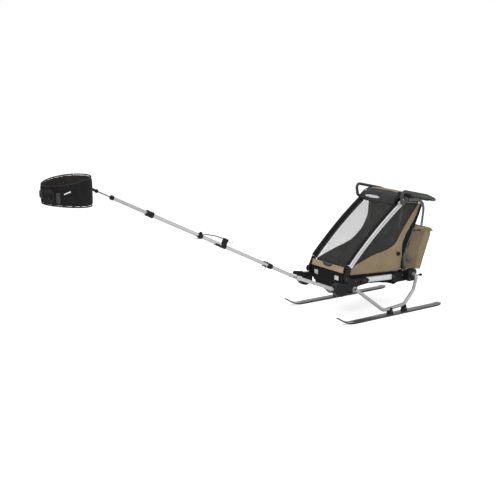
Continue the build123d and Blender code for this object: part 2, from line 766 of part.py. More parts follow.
# Length clamp: a split collar on the tube's end and a smaller one that grips the inner tube.
with BuildPart() as clamp:
    with BuildSketch(POLE.offset(CLAMP_S - 26)):
        Circle(POLE_R + 8)
        Circle(POLE_R + 0.1, mode=Mode.SUBTRACT)
    extrude(amount=24)
    with BuildSketch(POLE.offset(CLAMP_S - 2)):
        Circle(POLE_R + 3)
        Circle(POLE_R + 0.1, mode=Mode.SUBTRACT)
    extrude(amount=12)
    with BuildSketch(POLE.offset(CLAMP_S + 10)):
        Circle(POLE_R + 8)
        Circle(INNER_R + 0.4, mode=Mode.SUBTRACT)
    extrude(amount=18)
finish(clamp.part, "length_clamp")

INNER_START, INNER_END = 900, CAP_S - 12
with BuildPart() as front_tube_of_pole:
    with BuildSketch(POLE.offset(INNER_START)):
        Circle(INNER_R)
        Circle(INNER_R - 1.5, mode=Mode.SUBTRACT)
    extrude(amount=INNER_END - INNER_START)
finish(front_tube_of_pole.part, "front_pole_tube")

LINK_R = 4
HITCH_S = POLE_VECTOR.length - 18
with BuildPart() as end_cap:
    with BuildSketch(POLE.offset(INNER_END)):
        Circle(16)
    extrude(amount=26)
    chamfer(end_cap.edges().filter_by(GeomType.CIRCLE), 3)
finish(end_cap.part, "pole_end_cap")

with BuildPart() as link:
    with BuildSketch(POLE.offset(INNER_END + 26)):
        Circle(LINK_R)
    extrude(amount=HITCH_S - 12 - INNER_END - 26)
    with BuildSketch(side_of_pole(HITCH_S, -3)):
        Circle(13)
        Circle(POLE_PIN_R + PIN_FIT, mode=Mode.SUBTRACT)
    extrude(amount=6)
finish(link.part, "belt_link")

# ---- Hip belt: a padded loop, deep at the back and shallow at the buckle ----

BELT_BACK_TOP, BELT_BACK_LOW = 1284, 1088
BELT_FRONT_TOP, BELT_FRONT_LOW = 1236, 1124
with BuildPart() as belt:
    with BuildSketch(Plane.XY.offset(BELT_BACK_LOW)):
        with Locations((0, BELT_C_Y)):
            Ellipse(BELT_X, BELT_Y)
            Ellipse(BELT_X - BELT_THICK, BELT_Y - BELT_THICK, mode=Mode.SUBTRACT)
    extrude(amount=BELT_BACK_TOP - BELT_BACK_LOW)
    with BuildSketch(side_plane(-BELT_X - 5)):
        with BuildLine():
            Polyline(
                (BELT_C_Y + BELT_Y + 1, BELT_BACK_LOW), (BELT_C_Y + BELT_Y + 1, BELT_BACK_TOP),
                (BELT_C_Y - BELT_Y - 1, BELT_FRONT_TOP), (BELT_C_Y - BELT_Y - 1, BELT_FRONT_LOW),
                close=True,
            )
        make_face()
    extrude(amount=2 * BELT_X + 10, mode=Mode.INTERSECT)
finish(belt.part, "hip_belt")

# The hitch plate is sewn to the back of the belt, and its two ears hold the link.
HITCH = POLE.from_local_coords(Vector(0, 0, HITCH_S))
EAR_GAP, EAR = 4, 6
PLATE_Y = BELT_C_Y + BELT_Y + 6
with BuildPart() as hitch:
    with BuildSketch(Plane.XZ.offset(-PLATE_Y)):
        with Locations((HITCH.X, HITCH.Z)):
            RectangleRounded(44, 60, 8)
    extrude(amount=12)
    for inner in (EAR_GAP, -EAR_GAP - EAR):
        with BuildSketch(side_of_pole(HITCH_S, inner)):
            Circle(11)
            with Locations((21, 0)):
                Rectangle(42, 18)
        extrude(amount=EAR)
    with BuildSketch(side_of_pole(HITCH_S, -EAR_GAP - EAR)):
        Circle(POLE_PIN_R)
    extrude(amount=2 * (EAR_GAP + EAR))
    with BuildSketch(Plane.XY.offset(BELT_BACK_LOW)):
        with Locations((0, BELT_C_Y)):
            Ellipse(BELT_X, BELT_Y)
    extrude(amount=BELT_BACK_TOP - BELT_BACK_LOW, mode=Mode.SUBTRACT)
finish(hitch.part, "belt_hitch")
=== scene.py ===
import bpy
import numpy as np
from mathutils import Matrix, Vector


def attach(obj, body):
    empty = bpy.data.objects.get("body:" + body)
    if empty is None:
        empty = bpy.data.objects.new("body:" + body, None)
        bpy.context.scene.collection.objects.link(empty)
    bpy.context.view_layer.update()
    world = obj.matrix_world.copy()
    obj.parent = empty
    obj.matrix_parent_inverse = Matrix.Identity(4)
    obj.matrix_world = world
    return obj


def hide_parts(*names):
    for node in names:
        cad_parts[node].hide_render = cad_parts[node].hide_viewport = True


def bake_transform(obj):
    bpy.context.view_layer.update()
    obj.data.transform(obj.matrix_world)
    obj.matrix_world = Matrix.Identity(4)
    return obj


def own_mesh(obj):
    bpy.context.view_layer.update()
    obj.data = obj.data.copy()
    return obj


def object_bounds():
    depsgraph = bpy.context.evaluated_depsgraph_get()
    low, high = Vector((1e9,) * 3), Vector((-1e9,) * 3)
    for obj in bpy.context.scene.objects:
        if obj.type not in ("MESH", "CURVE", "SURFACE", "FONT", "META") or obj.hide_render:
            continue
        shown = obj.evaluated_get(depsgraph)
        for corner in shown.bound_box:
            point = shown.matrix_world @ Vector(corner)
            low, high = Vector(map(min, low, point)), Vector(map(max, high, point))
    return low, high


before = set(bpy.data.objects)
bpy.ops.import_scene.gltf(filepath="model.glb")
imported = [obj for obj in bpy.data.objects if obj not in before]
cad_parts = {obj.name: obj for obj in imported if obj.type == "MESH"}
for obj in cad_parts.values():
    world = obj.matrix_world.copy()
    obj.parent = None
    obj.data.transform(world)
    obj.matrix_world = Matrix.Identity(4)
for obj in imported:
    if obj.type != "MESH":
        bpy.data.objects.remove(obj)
cad_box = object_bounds()

# ---- Studio: floor, room light, lamps and camera ----
# A white floor under a soft white room. Two wide lamps above and in front give the tubes their
# bright sides, and the floor keeps a faint shadow under the skis.

LOW = cad_box[0]
CAMERA_TURN, CAMERA_DIP = np.radians(56.0), np.radians(12.317)
CAMERA_AT = (5.187, -3.578, 2.004)
LENS, SENSOR = 61.69, 36.0

camera = bpy.data.objects.new("camera", bpy.data.cameras.new("camera"))
camera.data.lens, camera.data.sensor_width = LENS, SENSOR
camera.location = CAMERA_AT
camera.rotation_euler = (np.pi / 2 - CAMERA_DIP, 0, CAMERA_TURN)
bpy.context.scene.collection.objects.link(camera)
bpy.context.scene.camera = camera


def soft_lamp(name, at, aim, size, power):
    """A square lamp of that size in metres, at a point and turned to face another."""
    lamp = bpy.data.objects.new(name, bpy.data.lights.new(name, "AREA"))
    lamp.data.size, lamp.data.energy = size, power
    lamp.location = at
    facing = Vector(aim) - Vector(at)
    lamp.rotation_euler = facing.to_track_quat("-Z", "Y").to_euler()
    bpy.context.scene.collection.objects.link(lamp)


soft_lamp("key_lamp", (3.2, -3.0, 4.6), (0, 0.4, 0.5), 3.4, 135)
soft_lamp("side_lamp", (4.6, 1.8, 2.2), (0, 0.9, 0.5), 2.4, 52)
soft_lamp("top_lamp", (-1.6, 0.8, 4.4), (0, 0.6, 0.5), 4.0, 70)


def nodes_of(tree, kind, **sockets):
    """A new shader node of that kind, with its own socket values set by name."""
    node = tree.nodes.new(kind)
    for name, value in sockets.items():
        node.inputs[name.replace("_", " ")].default_value = value
    return node


def worked(tree, operation, *values):
    """The result of a maths node on two values, each a number or another node's output."""
    node = tree.nodes.new("ShaderNodeMath")
    node.operation = operation
    for place, value in zip(node.inputs, values):
        if isinstance(value, float):
            place.default_value = value
        else:
            tree.links.new(value, place)
    return node.outputs[0]


def seen_directly(tree):
    """1 where a ray comes from the camera, a mirror surface or glass, and 0 elsewhere."""
    ray = tree.nodes.new("ShaderNodeLightPath").outputs
    plain = worked(tree, "MAXIMUM", ray["Is Camera Ray"], ray["Is Glossy Ray"])
    return worked(tree, "MAXIMUM", plain, ray["Is Transmission Ray"])


room = bpy.data.worlds.new("room")
bpy.context.scene.world = room
room.use_nodes = True
tree = room.node_tree
tree.nodes.clear()
dim = nodes_of(tree, "ShaderNodeBackground", Color=(1, 1, 1, 1), Strength=0.5)
bright = nodes_of(tree, "ShaderNodeBackground", Color=(1, 1, 1, 1), Strength=1.0)
either = tree.nodes.new("ShaderNodeMixShader")
tree.links.new(seen_directly(tree), either.inputs[0])
tree.links.new(dim.outputs[0], either.inputs[1])
tree.links.new(bright.outputs[0], either.inputs[2])
world_out = tree.nodes.new("ShaderNodeOutputWorld")
tree.links.new(either.outputs[0], world_out.inputs["Surface"])

FLOOR_HALF = 30.0
floor_mesh = bpy.data.meshes.new("floor")
corners = [(x, y, LOW.z - 0.0005) for x, y in ((-1, -1), (1, -1), (1, 1), (-1, 1))]
floor_mesh.from_pydata(np.array(corners) * (FLOOR_HALF, FLOOR_HALF, 1), [], [(0, 1, 2, 3)])
floor = bpy.data.objects.new("studio_floor", floor_mesh)
bpy.context.scene.collection.objects.link(floor)
paper = bpy.data.materials.new("white_paper")
paper.use_nodes = True
tree = paper.node_tree
tree.nodes.clear()
sheet = nodes_of(tree, "ShaderNodeBsdfDiffuse", Color=(0.86, 0.86, 0.86, 1))
lift = nodes_of(tree, "ShaderNodeEmission", Color=(1, 1, 1, 1))
share = worked(tree, "MULTIPLY", seen_directly(tree), 0.62)
tree.links.new(share, lift.inputs["Strength"])
both = tree.nodes.new("ShaderNodeAddShader")
tree.links.new(sheet.outputs[0], both.inputs[0])
tree.links.new(lift.outputs[0], both.inputs[1])
paper_out = tree.nodes.new("ShaderNodeOutputMaterial")
tree.links.new(both.outputs[0], paper_out.inputs["Surface"])
floor_mesh.materials.append(paper)

bpy.context.scene.view_settings.view_transform = "Standard"

# ---- Base frame: rails, corners, cross tubes, posts ----
# Satin anodised aluminium rails are pressed into black glass-filled nylon corners. The corners and
# the axle boxes are bolted together from outside, and the rear posts are lighter grey nylon.


def node_after(tree, kind, source, **sockets):
    """A new shader node that takes its vector from source."""
    node = nodes_of(tree, kind, **sockets)
    tree.links.new(source, node.inputs["Vector"])
    return node


def finish_of(name, colour, rough, metal=0.0, coat=0.0, sheen=0.0, gloss=0.5):
    """A new finish: its material, node tree, shader and places to hang a pattern on."""
    finish = bpy.data.materials.new(name)
    finish.use_nodes = True
    tree = finish.node_tree
    skin = tree.nodes["Principled BSDF"]
    skin.inputs["Base Color"].default_value = (*colour, 1)
    skin.inputs["Roughness"].default_value = rough
    skin.inputs["Metallic"].default_value = metal
    skin.inputs["Coat Weight"].default_value = coat
    skin.inputs["Sheen Weight"].default_value = sheen
    skin.inputs["Specular IOR Level"].default_value = gloss
    finish.diffuse_color = (*colour, 1)
    return finish, tree, skin, tree.nodes.new("ShaderNodeTexCoord").outputs


def shaded(tree, skin, pattern, colour, dark, light, share):
    """Takes a colour from its dark part to its light part as a pattern rises through share."""
    ramp = tree.nodes.new("ShaderNodeValToRGB")
    for stop, at, part in zip(ramp.color_ramp.elements, (0.5 - share, 0.5 + share), (dark, light)):
        stop.position = at
        stop.color = (*[part * value for value in colour], 1)
    tree.links.new(pattern, ramp.inputs[0])
    tree.links.new(ramp.outputs[0], skin.inputs["Base Color"])


def raised(tree, skin, pattern, depth, strength):
    """Raises a finish where a pattern is high, by depth in metres."""
    bump = nodes_of(tree, "ShaderNodeBump", Strength=strength, Distance=depth)
    tree.links.new(pattern, bump.inputs["Height"])
    tree.links.new(bump.outputs[0], skin.inputs["Normal"])


def satin_metal(name, colour, rough, metal=0.35):
    """Anodised tube: a fine drawn grain, faint cloudy patches and dulled spots."""
    finish, tree, skin, places = finish_of(name, colour, rough, metal=metal)
    cloud = node_after(tree, "ShaderNodeTexNoise", places["Object"], Scale=9.0, Detail=5.0)
    shaded(tree, skin, cloud.outputs["Fac"], colour, 0.9, 1.05, 0.25)
    dull = tree.nodes.new("ShaderNodeMapRange")
    dull.inputs["To Min"].default_value = rough - 0.07
    dull.inputs["To Max"].default_value = rough + 0.1
    tree.links.new(cloud.outputs["Fac"], dull.inputs["Value"])
    tree.links.new(dull.outputs[0], skin.inputs["Roughness"])
    grain = node_after(tree, "ShaderNodeTexNoise", places["Object"], Scale=900.0, Detail=2.0)
    raised(tree, skin, grain.outputs["Fac"], 0.0002, 0.12)
    return finish


def moulded(name, colour, rough, coat=0.0):
    """Moulded plastic: spark-eroded grain, rubbed lighter in patches."""
    finish, tree, skin, places = finish_of(name, colour, rough, coat=coat, gloss=0.14)
    rubbed = node_after(tree, "ShaderNodeTexNoise", places["Object"], Scale=24.0, Detail=6.0)
    shaded(tree, skin, rubbed.outputs["Fac"], colour, 0.8, 1.45, 0.2)
    grain = node_after(tree, "ShaderNodeTexVoronoi", places["Object"], Scale=1100.0)
    raised(tree, skin, grain.outputs["Distance"], 0.0003, 0.35)
    return finish


def coat_with(finish, *names):
    """Puts a finish on CAD nodes."""
    for name in names:
        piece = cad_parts[name]
        if not piece.material_slots:
            piece.data.materials.append(finish)
        for place in piece.material_slots:
            place.material = finish


silver = satin_metal("silver_tube", (0.56, 0.565, 0.575), 0.38)
leg_metal = satin_metal("leg_tube", (0.34, 0.34, 0.345), 0.34)
grey_metal = satin_metal("grey_tube", (0.37, 0.38, 0.39), 0.45)
black_metal = satin_metal("black_tube", (0.016, 0.016, 0.0175), 0.42, metal=0.0)
black_nylon = moulded("black_nylon", (0.0075, 0.0075, 0.008), 0.5)
grey_nylon = moulded("grey_nylon", (0.075, 0.075, 0.08), 0.42)

coat_with(silver, "side_rails")
coat_with(black_metal, "front_cross_tube", "rear_cross_tube")
coat_with(black_nylon, "front_corners", "rear_corners", "axle_boxes")
coat_with(black_nylon, "left_arm_socket", "right_arm_socket")
coat_with(grey_nylon, "rear_posts")


def surface(name, points, finish, around=False, poles=False, turned=False, sharp=None):
    """A quad mesh over an (n, m, 3) array of points.

    around joins each row's last point to its first. poles closes the first and last row at its
    middle. turned faces the mesh the other way, and sharp keeps edges past that angle in
    degrees. Its own map is the distance along and across it, in metres.
    """
    points = np.asarray(points, float)
    n, m = points.shape[:2]
    span = m if around else m - 1
    ring = np.concatenate([points, points[:, :1]], 1) if around else points
    u = np.r_[0, np.cumsum(np.linalg.norm(np.diff(points, axis=0), axis=2).max(1))]
    v = np.r_[0, np.cumsum(np.linalg.norm(np.diff(ring, axis=1), axis=2).max(0))]
    i, j = [part.ravel() for part in np.meshgrid(range(n - 1), range(span), indexing="ij")]
    k = (j + 1) % m
    faces = np.c_[i * m + j, i * m + k, (i + 1) * m + k, (i + 1) * m + j]
    marks = np.stack([np.c_[u[i], v[j]], np.c_[u[i], v[j + 1]],
                      np.c_[u[i + 1], v[j + 1]], np.c_[u[i + 1], v[j]]], 1)
    spots = points.reshape(-1, 3)
    tops = np.zeros((0, 3), int)
    if poles:
        spots = np.r_[spots, [points[0].mean(0)], [points[-1].mean(0)]]
        a = np.arange(span)
        b, last = (a + 1) % m, (n - 1) * m
        tops = np.r_[np.c_[b, a, np.full(span, n * m)],
                     np.c_[last + a, last + b, np.full(span, n * m + 1)]]
    if turned:
        faces, marks, tops = faces[:, ::-1], marks[:, ::-1], tops[:, ::-1]
    mesh = bpy.data.meshes.new(name)
    mesh.from_pydata(spots.tolist(), [], faces.tolist() + tops.tolist())
    layer = mesh.uv_layers.new(name="cloth_map")
    flat = np.zeros((len(mesh.loops), 2))
    flat[: marks.size // 2] = marks.reshape(-1, 2)
    layer.data.foreach_set("uv", flat.ravel())
    mesh.shade_smooth()
    if sharp:
        mesh.set_sharp_from_angle(angle=np.radians(sharp))
    mesh.materials.append(finish)
    piece = bpy.data.objects.new(name, mesh)
    bpy.context.scene.collection.objects.link(piece)
    return piece


def closed(name, rows, finish, turned=False, sharp=None):
    """A closed form: each row is a ring, and its two ends are shut."""
    return surface(name, rows, finish, True, True, turned, sharp)


def whole_turn(steps):
    """Angles evenly round a circle, the last one short of the first."""
    return np.linspace(0, 2 * np.pi, steps, endpoint=False)


def turned_round(profile, at, axis, steps=24):
    """Rows of a profile of (distance along axis, radius) turned about an axis through a point."""
    axis = np.asarray(axis, float) / np.linalg.norm(axis)
    side = np.cross(axis, (0.31, 0.52, 0.79))
    side /= np.linalg.norm(side)
    turn = whole_turn(steps)[:, None]
    spoke = np.cos(turn) * side + np.sin(turn) * np.cross(axis, side)
    profile = np.asarray(profile, float)
    return np.asarray(at) + profile[:, 0, None, None] * axis + profile[:, 1, None, None] * spoke


def joined(name, parts):
    """Several meshes made one piece, with their maps and finishes kept."""
    bpy.ops.object.select_all(action="DESELECT")
    for part in parts:
        part.select_set(True)
    bpy.context.view_layer.objects.active = parts[0]
    bpy.ops.object.join()
    parts[0].name = name
    return parts[0]


def settle(piece, body, stands_for=None):
    """Puts a piece on its body, and in a CAD node's place if it stands for one."""
    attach(piece, body)
    if stands_for:
        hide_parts(stands_for)


bolt_zinc = satin_metal("bolt_zinc", (0.11, 0.11, 0.115), 0.34)


def bolts(name, places, body, radius=0.0055, finish=bolt_zinc):
    """Button-head bolts in one piece: a domed rim with a round socket sunk in it."""
    r = radius
    dome = [(-0.001, r), (r * 0.25, r), (r * 0.48, r * 0.82), (r * 0.56, r * 0.5),
            (r * 0.3, r * 0.44), (r * 0.15, r * 0.1)]
    heads = [closed(name, turned_round(dome, at, axis, 16), finish, sharp=50)
             for at, axis in places]
    settle(joined(name, heads), body)


SIDES = ((1, "left"), (-1, "right"))
for side, word in SIDES:
    out = (side, 0, 0)
    bolts(f"{word}_corner_bolts", [((side * 0.245, y, z), out) for y, z in
          ((0.692, 0.334), (0.786, 0.306), (0.886, 0.299), (1.206, 0.285), (1.296, 0.285))],
          "chassis")
    bolts(f"{word}_axle_bolts", [((side * 0.292, y, z), out) for y, z in
          ((1.338, 0.314), (1.396, 0.314), (1.396, 0.254), (1.338, 0.254))],
          "chassis", radius=0.0045)

# ---- Skis, their legs and clamps ----
# Each ski is a black laminated blade with a paler topsheet. One bent aluminium tube a side holds
# it, pinched in two nylon clamps, each closed by a cross bolt.

ski_gloss = moulded("ski_gloss", (0.012, 0.012, 0.014), 0.16, coat=0.6)
ski_top = moulded("ski_topsheet", (0.045, 0.045, 0.05), 0.3, coat=0.3)
coat_with(ski_gloss, "left_ski", "right_ski")
coat_with(leg_metal, "left_ski_leg", "right_ski_leg")
coat_with(black_nylon, "ski_clamps")

SKI_X, SKI_HALF, DECK = 0.339, 0.031, 0.014
TIP_Y, TIP_BEND, TAIL_Y, CLAMPS = 0.535, 0.7, 1.592, (1.080, 1.235)
TIP_RUN, TIP_RISE = 0.172, 0.062
BEND_R = (TIP_RUN**2 + TIP_RISE**2) / (2 * TIP_RISE)


def grid(x, y, z):
    """An array of points from their x, y and z, each spread over the others."""
    return np.stack(np.broadcast_arrays(x, y, z), -1)


def topsheet_line(y, lift):
    """Height of the deck at y: flat, then the arc of the raised tip, and lift above it."""
    into = np.clip(TIP_BEND - y, 0, None)
    return DECK + lift + BEND_R - np.sqrt(BEND_R**2 - into**2) - 0.03 * into


for side, word in SIDES:
    y = np.linspace(TIP_Y + 0.022, TAIL_Y, 60)[:, None]
    across = np.linspace(-1, 1, 9)[None, :]
    nose = np.sqrt(np.clip(1 - np.clip((TIP_Y + 0.05 - y) / 0.034, 0, 1) ** 2, 0, 1))
    crown = 0.0012 * (1 - across**4)
    blade = side * SKI_X + (SKI_HALF - 0.006) * across * (0.25 + 0.75 * nose)
    top = surface(f"{word}_topsheet", grid(blade, y, topsheet_line(y, 0.0003) + crown), ski_top)
    settle(top, "chassis")
    bolts(f"{word}_clamp_bolts", [((side * (SKI_X + 0.0195), y, 0.034), (side, 0, 0.14))
          for y in CLAMPS], "chassis", radius=0.0045)
    bolts(f"{word}_clamp_screws", [((side * SKI_X, y + dy, DECK + 0.0005), (0, 0, 1))
          for y in CLAMPS for dy in (-0.03, 0.03)], "chassis", radius=0.004)


# ---- Upper frame: pillars, feet, caps and handle brackets ----
# Two extruded silver pillars with a groove down each side, which takes the fabric's edge cord.
# Their nylon feet turn in the front corners, and the caps carry the rear hoop.

coat_with(silver, "left_pillar", "right_pillar")
coat_with(black_nylon, "pillar_feet", "pillar_caps", "handle_brackets")
coat_with(black_metal, "rear_hoop")

FOOT, MIDDLE, HEAD = (0.736, 0.423), (1.004, 0.681), (1.298, 0.908)


def circle_through(a, b, c):
    """Centre and radius of the circle through three points."""
    rows = np.array([[b[0] - a[0], b[1] - a[1]], [c[0] - a[0], c[1] - a[1]]])
    sums = [(np.square(p).sum() - np.square(a).sum()) / 2 for p in (b, c)]
    middle = np.linalg.solve(rows, sums)
    return middle, np.hypot(*(middle - a))


BOW, BOW_R = circle_through(FOOT, MIDDLE, HEAD)
BOW_START, BOW_END = [np.arctan2(p[1] - BOW[1], p[0] - BOW[0]) for p in (FOOT, HEAD)]
PILLAR_RUN = abs(BOW_START - BOW_END) * BOW_R


def by_pillar(distance, lift):
    """Points (y, z) at a distance along the pillar's arc, lifted away from the seat."""
    turn = BOW_START - np.asarray(distance) / BOW_R
    reach = BOW_R + np.asarray(lift)
    return BOW[0] + reach * np.cos(turn), BOW[1] + reach * np.sin(turn)


# The grey strips in the pillar grooves are painted shade: the grooves are too shallow to darken
# themselves.
groove_shade_grey = moulded("groove_shade_grey", (0.3, 0.3, 0.305), 0.5)
for side, word in SIDES:
    along = np.linspace(0.004, PILLAR_RUN - 0.003, 80)[:, None]
    lift = np.linspace(-0.0056, 0.0056, 9)[None, :]
    y, z = by_pillar(along, lift)
    face = 0.2342 - 18 * lift**2 + 0 * along
    groove_shade_strip = surface(f"{word}_painted_groove_shade", np.stack([side * face, y, z], -1), groove_shade_grey,
                     turned=side < 0)
    settle(groove_shade_strip, "upper_frame")


# ---- Handlebar: bar, foam grip and wrist strap ----
# A black powder-coated tube bent to a U. A dark foam sleeve with rounded ends covers its crossbar,
# and a folded webbing loop hangs from the left arm.

coat_with(black_metal, "handlebar")
BAR_Y, BAR_Z = 1.623, 0.884


def foam(name, colour):
    """Closed-cell foam: small pits over a soft uneven skin."""
    finish, tree, skin, places = finish_of(name, colour, 0.8, sheen=0.15)
    worn = node_after(tree, "ShaderNodeTexNoise", places["Object"], Scale=30.0, Detail=6.0)
    shaded(tree, skin, worn.outputs["Fac"], colour, 0.75, 1.3, 0.2)
    pits = node_after(tree, "ShaderNodeTexVoronoi", places["Object"], Scale=700.0)
    raised(tree, skin, pits.outputs["Distance"], 0.0004, 0.5)
    return finish


grip_foam = foam("grip_foam", (0.035, 0.035, 0.037))
along = np.linspace(-1, 1, 61)
swell = 0.0125 + 0.0052 * (1 - np.abs(along) ** 22) ** 0.5 + 0.0004 * np.cos(along * 7)
seam = 0.0007 * np.exp(-((np.abs(along) - 0.9) / 0.012) ** 2)
sleeve = turned_round(np.c_[along * 0.19, swell - seam], (0, BAR_Y, BAR_Z), (1, 0, 0), 28)
grip = closed("foam_grip", sleeve, grip_foam)
settle(grip, "handle", "handlebar_grip")


def woven(name, colour, pitch=0.0016, depth=0.0004, rough=0.85, uneven=0.22, ways=("X", "Y"),
          source="UV"):
    """Woven cloth: two crossing sets of threads that far apart, on a cloudy faded ground."""
    finish, tree, skin, places = finish_of(name, colour, rough, gloss=0.1)
    threads = []
    for way in ways:
        thread = node_after(tree, "ShaderNodeTexWave", places[source], Scale=0.314 / pitch,
                            Distortion=0.6, Detail=1.0)
        thread.bands_direction = way
        threads.append(thread.outputs["Fac"])
    raised(tree, skin, worked(tree, "MAXIMUM", *threads), depth, 0.6)
    cloud = node_after(tree, "ShaderNodeTexNoise", places["Object"], Scale=11.0, Detail=8.0)
    cloud.inputs["Roughness"].default_value = 0.62
    shaded(tree, skin, cloud.outputs["Fac"], colour, 1 - uneven, 1 + uneven, 0.22)
    return finish


def carried(path, section, side):
    """Rows of a flat section of (across, out) carried along a path of (n, 3) points.

    side is the section's across direction, one vector or one a point. Its out direction is
    square to that and to the path.
    """
    path = np.asarray(path, float)
    step = np.gradient(path, axis=0)
    step /= np.linalg.norm(step, axis=1, keepdims=True)
    side = np.broadcast_to(np.asarray(side, float), path.shape)
    side = side - (side * step).sum(1, keepdims=True) * step
    side = side / np.linalg.norm(side, axis=1, keepdims=True)
    out = np.cross(step, side)
    section = np.asarray(section, float)
    if section.ndim == 2:
        section = np.broadcast_to(section, (len(path), *section.shape))
    return path[:, None] + section[..., :1] * side[:, None] + section[..., 1:] * out[:, None]


def smooth_line(corners, count):
    """Evenly spaced points on a smooth line through corners, by cubic Hermite runs."""
    corners = np.asarray(corners, float)
    runs = np.linalg.norm(np.diff(corners, axis=0), axis=1)
    reach = np.r_[0, np.cumsum(runs)]
    slope = np.gradient(corners, reach, axis=0)
    at = np.linspace(0, reach[-1], count)
    k = np.clip(np.searchsorted(reach, at, side="right") - 1, 0, len(runs) - 1)
    t = ((at - reach[k]) / runs[k])[:, None]
    run = runs[k][:, None]
    return ((2 * t**3 - 3 * t**2 + 1) * corners[k] + (t**3 - 2 * t**2 + t) * run * slope[k]
            + (3 * t**2 - 2 * t**3) * corners[k + 1] + (t**3 - t**2) * run * slope[k + 1])


def eased(wave, power):
    """A sine or cosine bent towards a square corner, its sign kept."""
    return np.sign(wave) * np.abs(wave) ** power


def strap_section(width, thick):
    """Flat strap seen end on, with rounded edges."""
    turn = whole_turn(12)
    across = eased(np.cos(turn), 0.35) * width / 2
    return np.c_[across, np.sin(turn) * thick / 2]


def strap(name, corners, width, thick, side, finish, count=48, sharp=60):
    """A flat strap laid along a smooth line through corners."""
    path = smooth_line(corners, count)
    return closed(name, carried(path, strap_section(width, thick), side), finish, sharp=sharp)


grey_webbing = woven("grey_webbing", (0.1, 0.104, 0.11), 0.002, 0.0004, uneven=0.15)
STRAP_X = 0.2688
hang = [(STRAP_X, 1.312, 0.914), (STRAP_X, 1.36, 0.9125), (STRAP_X, 1.425, 0.902),
        (STRAP_X, 1.466, 0.875), (STRAP_X, 1.4795, 0.84), (STRAP_X, 1.478, 0.78),
        (STRAP_X - 0.0004, 1.4725, 0.73), (STRAP_X, 1.467, 0.697)]
wrist = strap("wrist_webbing", hang, 0.027, 0.0018, (0, 0.4, 1.0), grey_webbing, 90)
tip_grey = moulded("strap_tip", (0.12, 0.15, 0.19), 0.5)
turn = whole_turn(20)
box = np.c_[eased(np.cos(turn), 0.4) * 0.0036, eased(np.sin(turn), 0.4) * 0.0115]
rows = box * np.array([0.8, 1, 1, 1, 0.7])[:, None, None]
level = np.array([0.713, 0.710, 0.701, 0.689, 0.686])[:, None]
ends = grid(STRAP_X + rows[..., 0], 1.4675 + rows[..., 1], level)
tip = closed("wrist_strap_tip", ends, tip_grey, turned=True, sharp=50)
bolts("strap_bolt", [((STRAP_X + 0.0008, 1.315, 0.914), (1, 0, 0))], "handle")
for piece in (wrist, tip):
    settle(piece, "handle", "wrist_strap")

# ---- Cabin sides: tan walls, black rear bands and mesh windows ----
# Coated polyester cut to the frame and stretched between the pillar's groove and the rail. A black
# band closes its rear edge, and the window is open polyester mesh sewn in with a bound seam.

tan_cloth = woven("tan_cloth", (0.262, 0.204, 0.128), uneven=0.13)
black_cloth = woven("black_cloth", (0.011, 0.011, 0.0115), uneven=0.25)
WALL_X = 0.2125


def netting(name, colour, pitch, thread):
    """Open mesh: two crossing sets of threads, that share of the pitch wide, with holes between."""
    finish, tree, skin, places = finish_of(name, colour, 0.8)
    sets = []
    for way in ("X", "Y"):
        wave = node_after(tree, "ShaderNodeTexWave", places["UV"], Scale=0.314 / pitch)
        wave.bands_direction = way
        level = 0.5 + 0.5 * float(np.cos(np.pi * thread))
        sets.append(worked(tree, "GREATER_THAN", wave.outputs["Fac"], level))
    cross = worked(tree, "MAXIMUM", *sets)
    tree.links.new(cross, skin.inputs["Alpha"])
    raised(tree, skin, cross, 0.0002, 0.4)
    fade = node_after(tree, "ShaderNodeTexNoise", places["UV"], Scale=14.0, Detail=4.0)
    shaded(tree, skin, fade.outputs["Fac"], colour, 0.8, 1.2, 0.2)
    return finish


side_mesh = netting("side_mesh", (0.075, 0.073, 0.07), 0.0022, 0.2)
WINDOW_EDGE = [(0.7575, 0.4115), (0.887, 0.456), (1.013, 0.493), (1.111, 0.510), (1.179, 0.529),
               (1.23, 0.556), (1.278, 0.622), (1.335, 0.697), (1.398, 0.775), (1.446, 0.83),
               (1.471, 0.869)]
HEM = [(0.752, 0.352), (0.887, 0.344), (1.05, 0.334), (1.19, 0.3255), (1.285, 0.3215),
       (1.312, 0.42), (1.314, 0.535), (1.352, 0.62), (1.405, 0.69), (1.458, 0.765), (1.505, 0.862)]
REAR_EDGE = [(1.335, 0.3175), (1.341, 0.43), (1.362, 0.484), (1.388, 0.524), (1.414, 0.604),
             (1.451, 0.685), (1.489, 0.765), (1.527, 0.8575)]


def at_x(line, x):
    """Points (y, z) put on a side plane at x."""
    line = np.asarray(line)
    return np.c_[np.full(len(line), x), line]


def lined(piece, lining):
    """Gives the back of a thickened sheet another cloth."""
    piece.data.materials.append(lining)
    piece.modifiers["thickness"].material_offset = 1
    return piece


def line_at(x, points, count):
    """A smooth line through (y, z) points on a side plane at x."""
    return smooth_line(at_x(points, x), count)


def hump(count):
    """A half wave: 0 at both ends and 1 in the middle."""
    return np.sin(np.pi * np.linspace(0, 1, count))


def between(first, second, steps):
    """Rows of points spread evenly from one line to another: an (n, steps, 3) array."""
    share = np.linspace(0, 1, steps)[None, :, None]
    return first[:, None] * (1 - share) + second[:, None] * share


def thicken(piece, thick, offset=-1.0):
    """Gives a sheet its thickness, behind its face."""
    wall = piece.modifiers.new("thickness", "SOLIDIFY")
    wall.thickness, wall.offset = thick, offset
    return piece


def cord_edge(name, corners, radius, finish, count=60):
    """A round bound edge along a smooth line through corners."""
    turn = whole_turn(8)
    section = radius * np.c_[np.cos(turn), np.sin(turn)]
    path = smooth_line(corners, count)
    side = np.where(np.abs(np.gradient(path, axis=0)[:, :1]) > 0.7 / count, (0, 1.0, 0.2),
                    (1.0, 0, 0.1))
    return closed(name, carried(path, section, side), finish)


def cloth_fold(piece):
    """Bakes a piece's placement into its mesh."""
    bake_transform(piece)


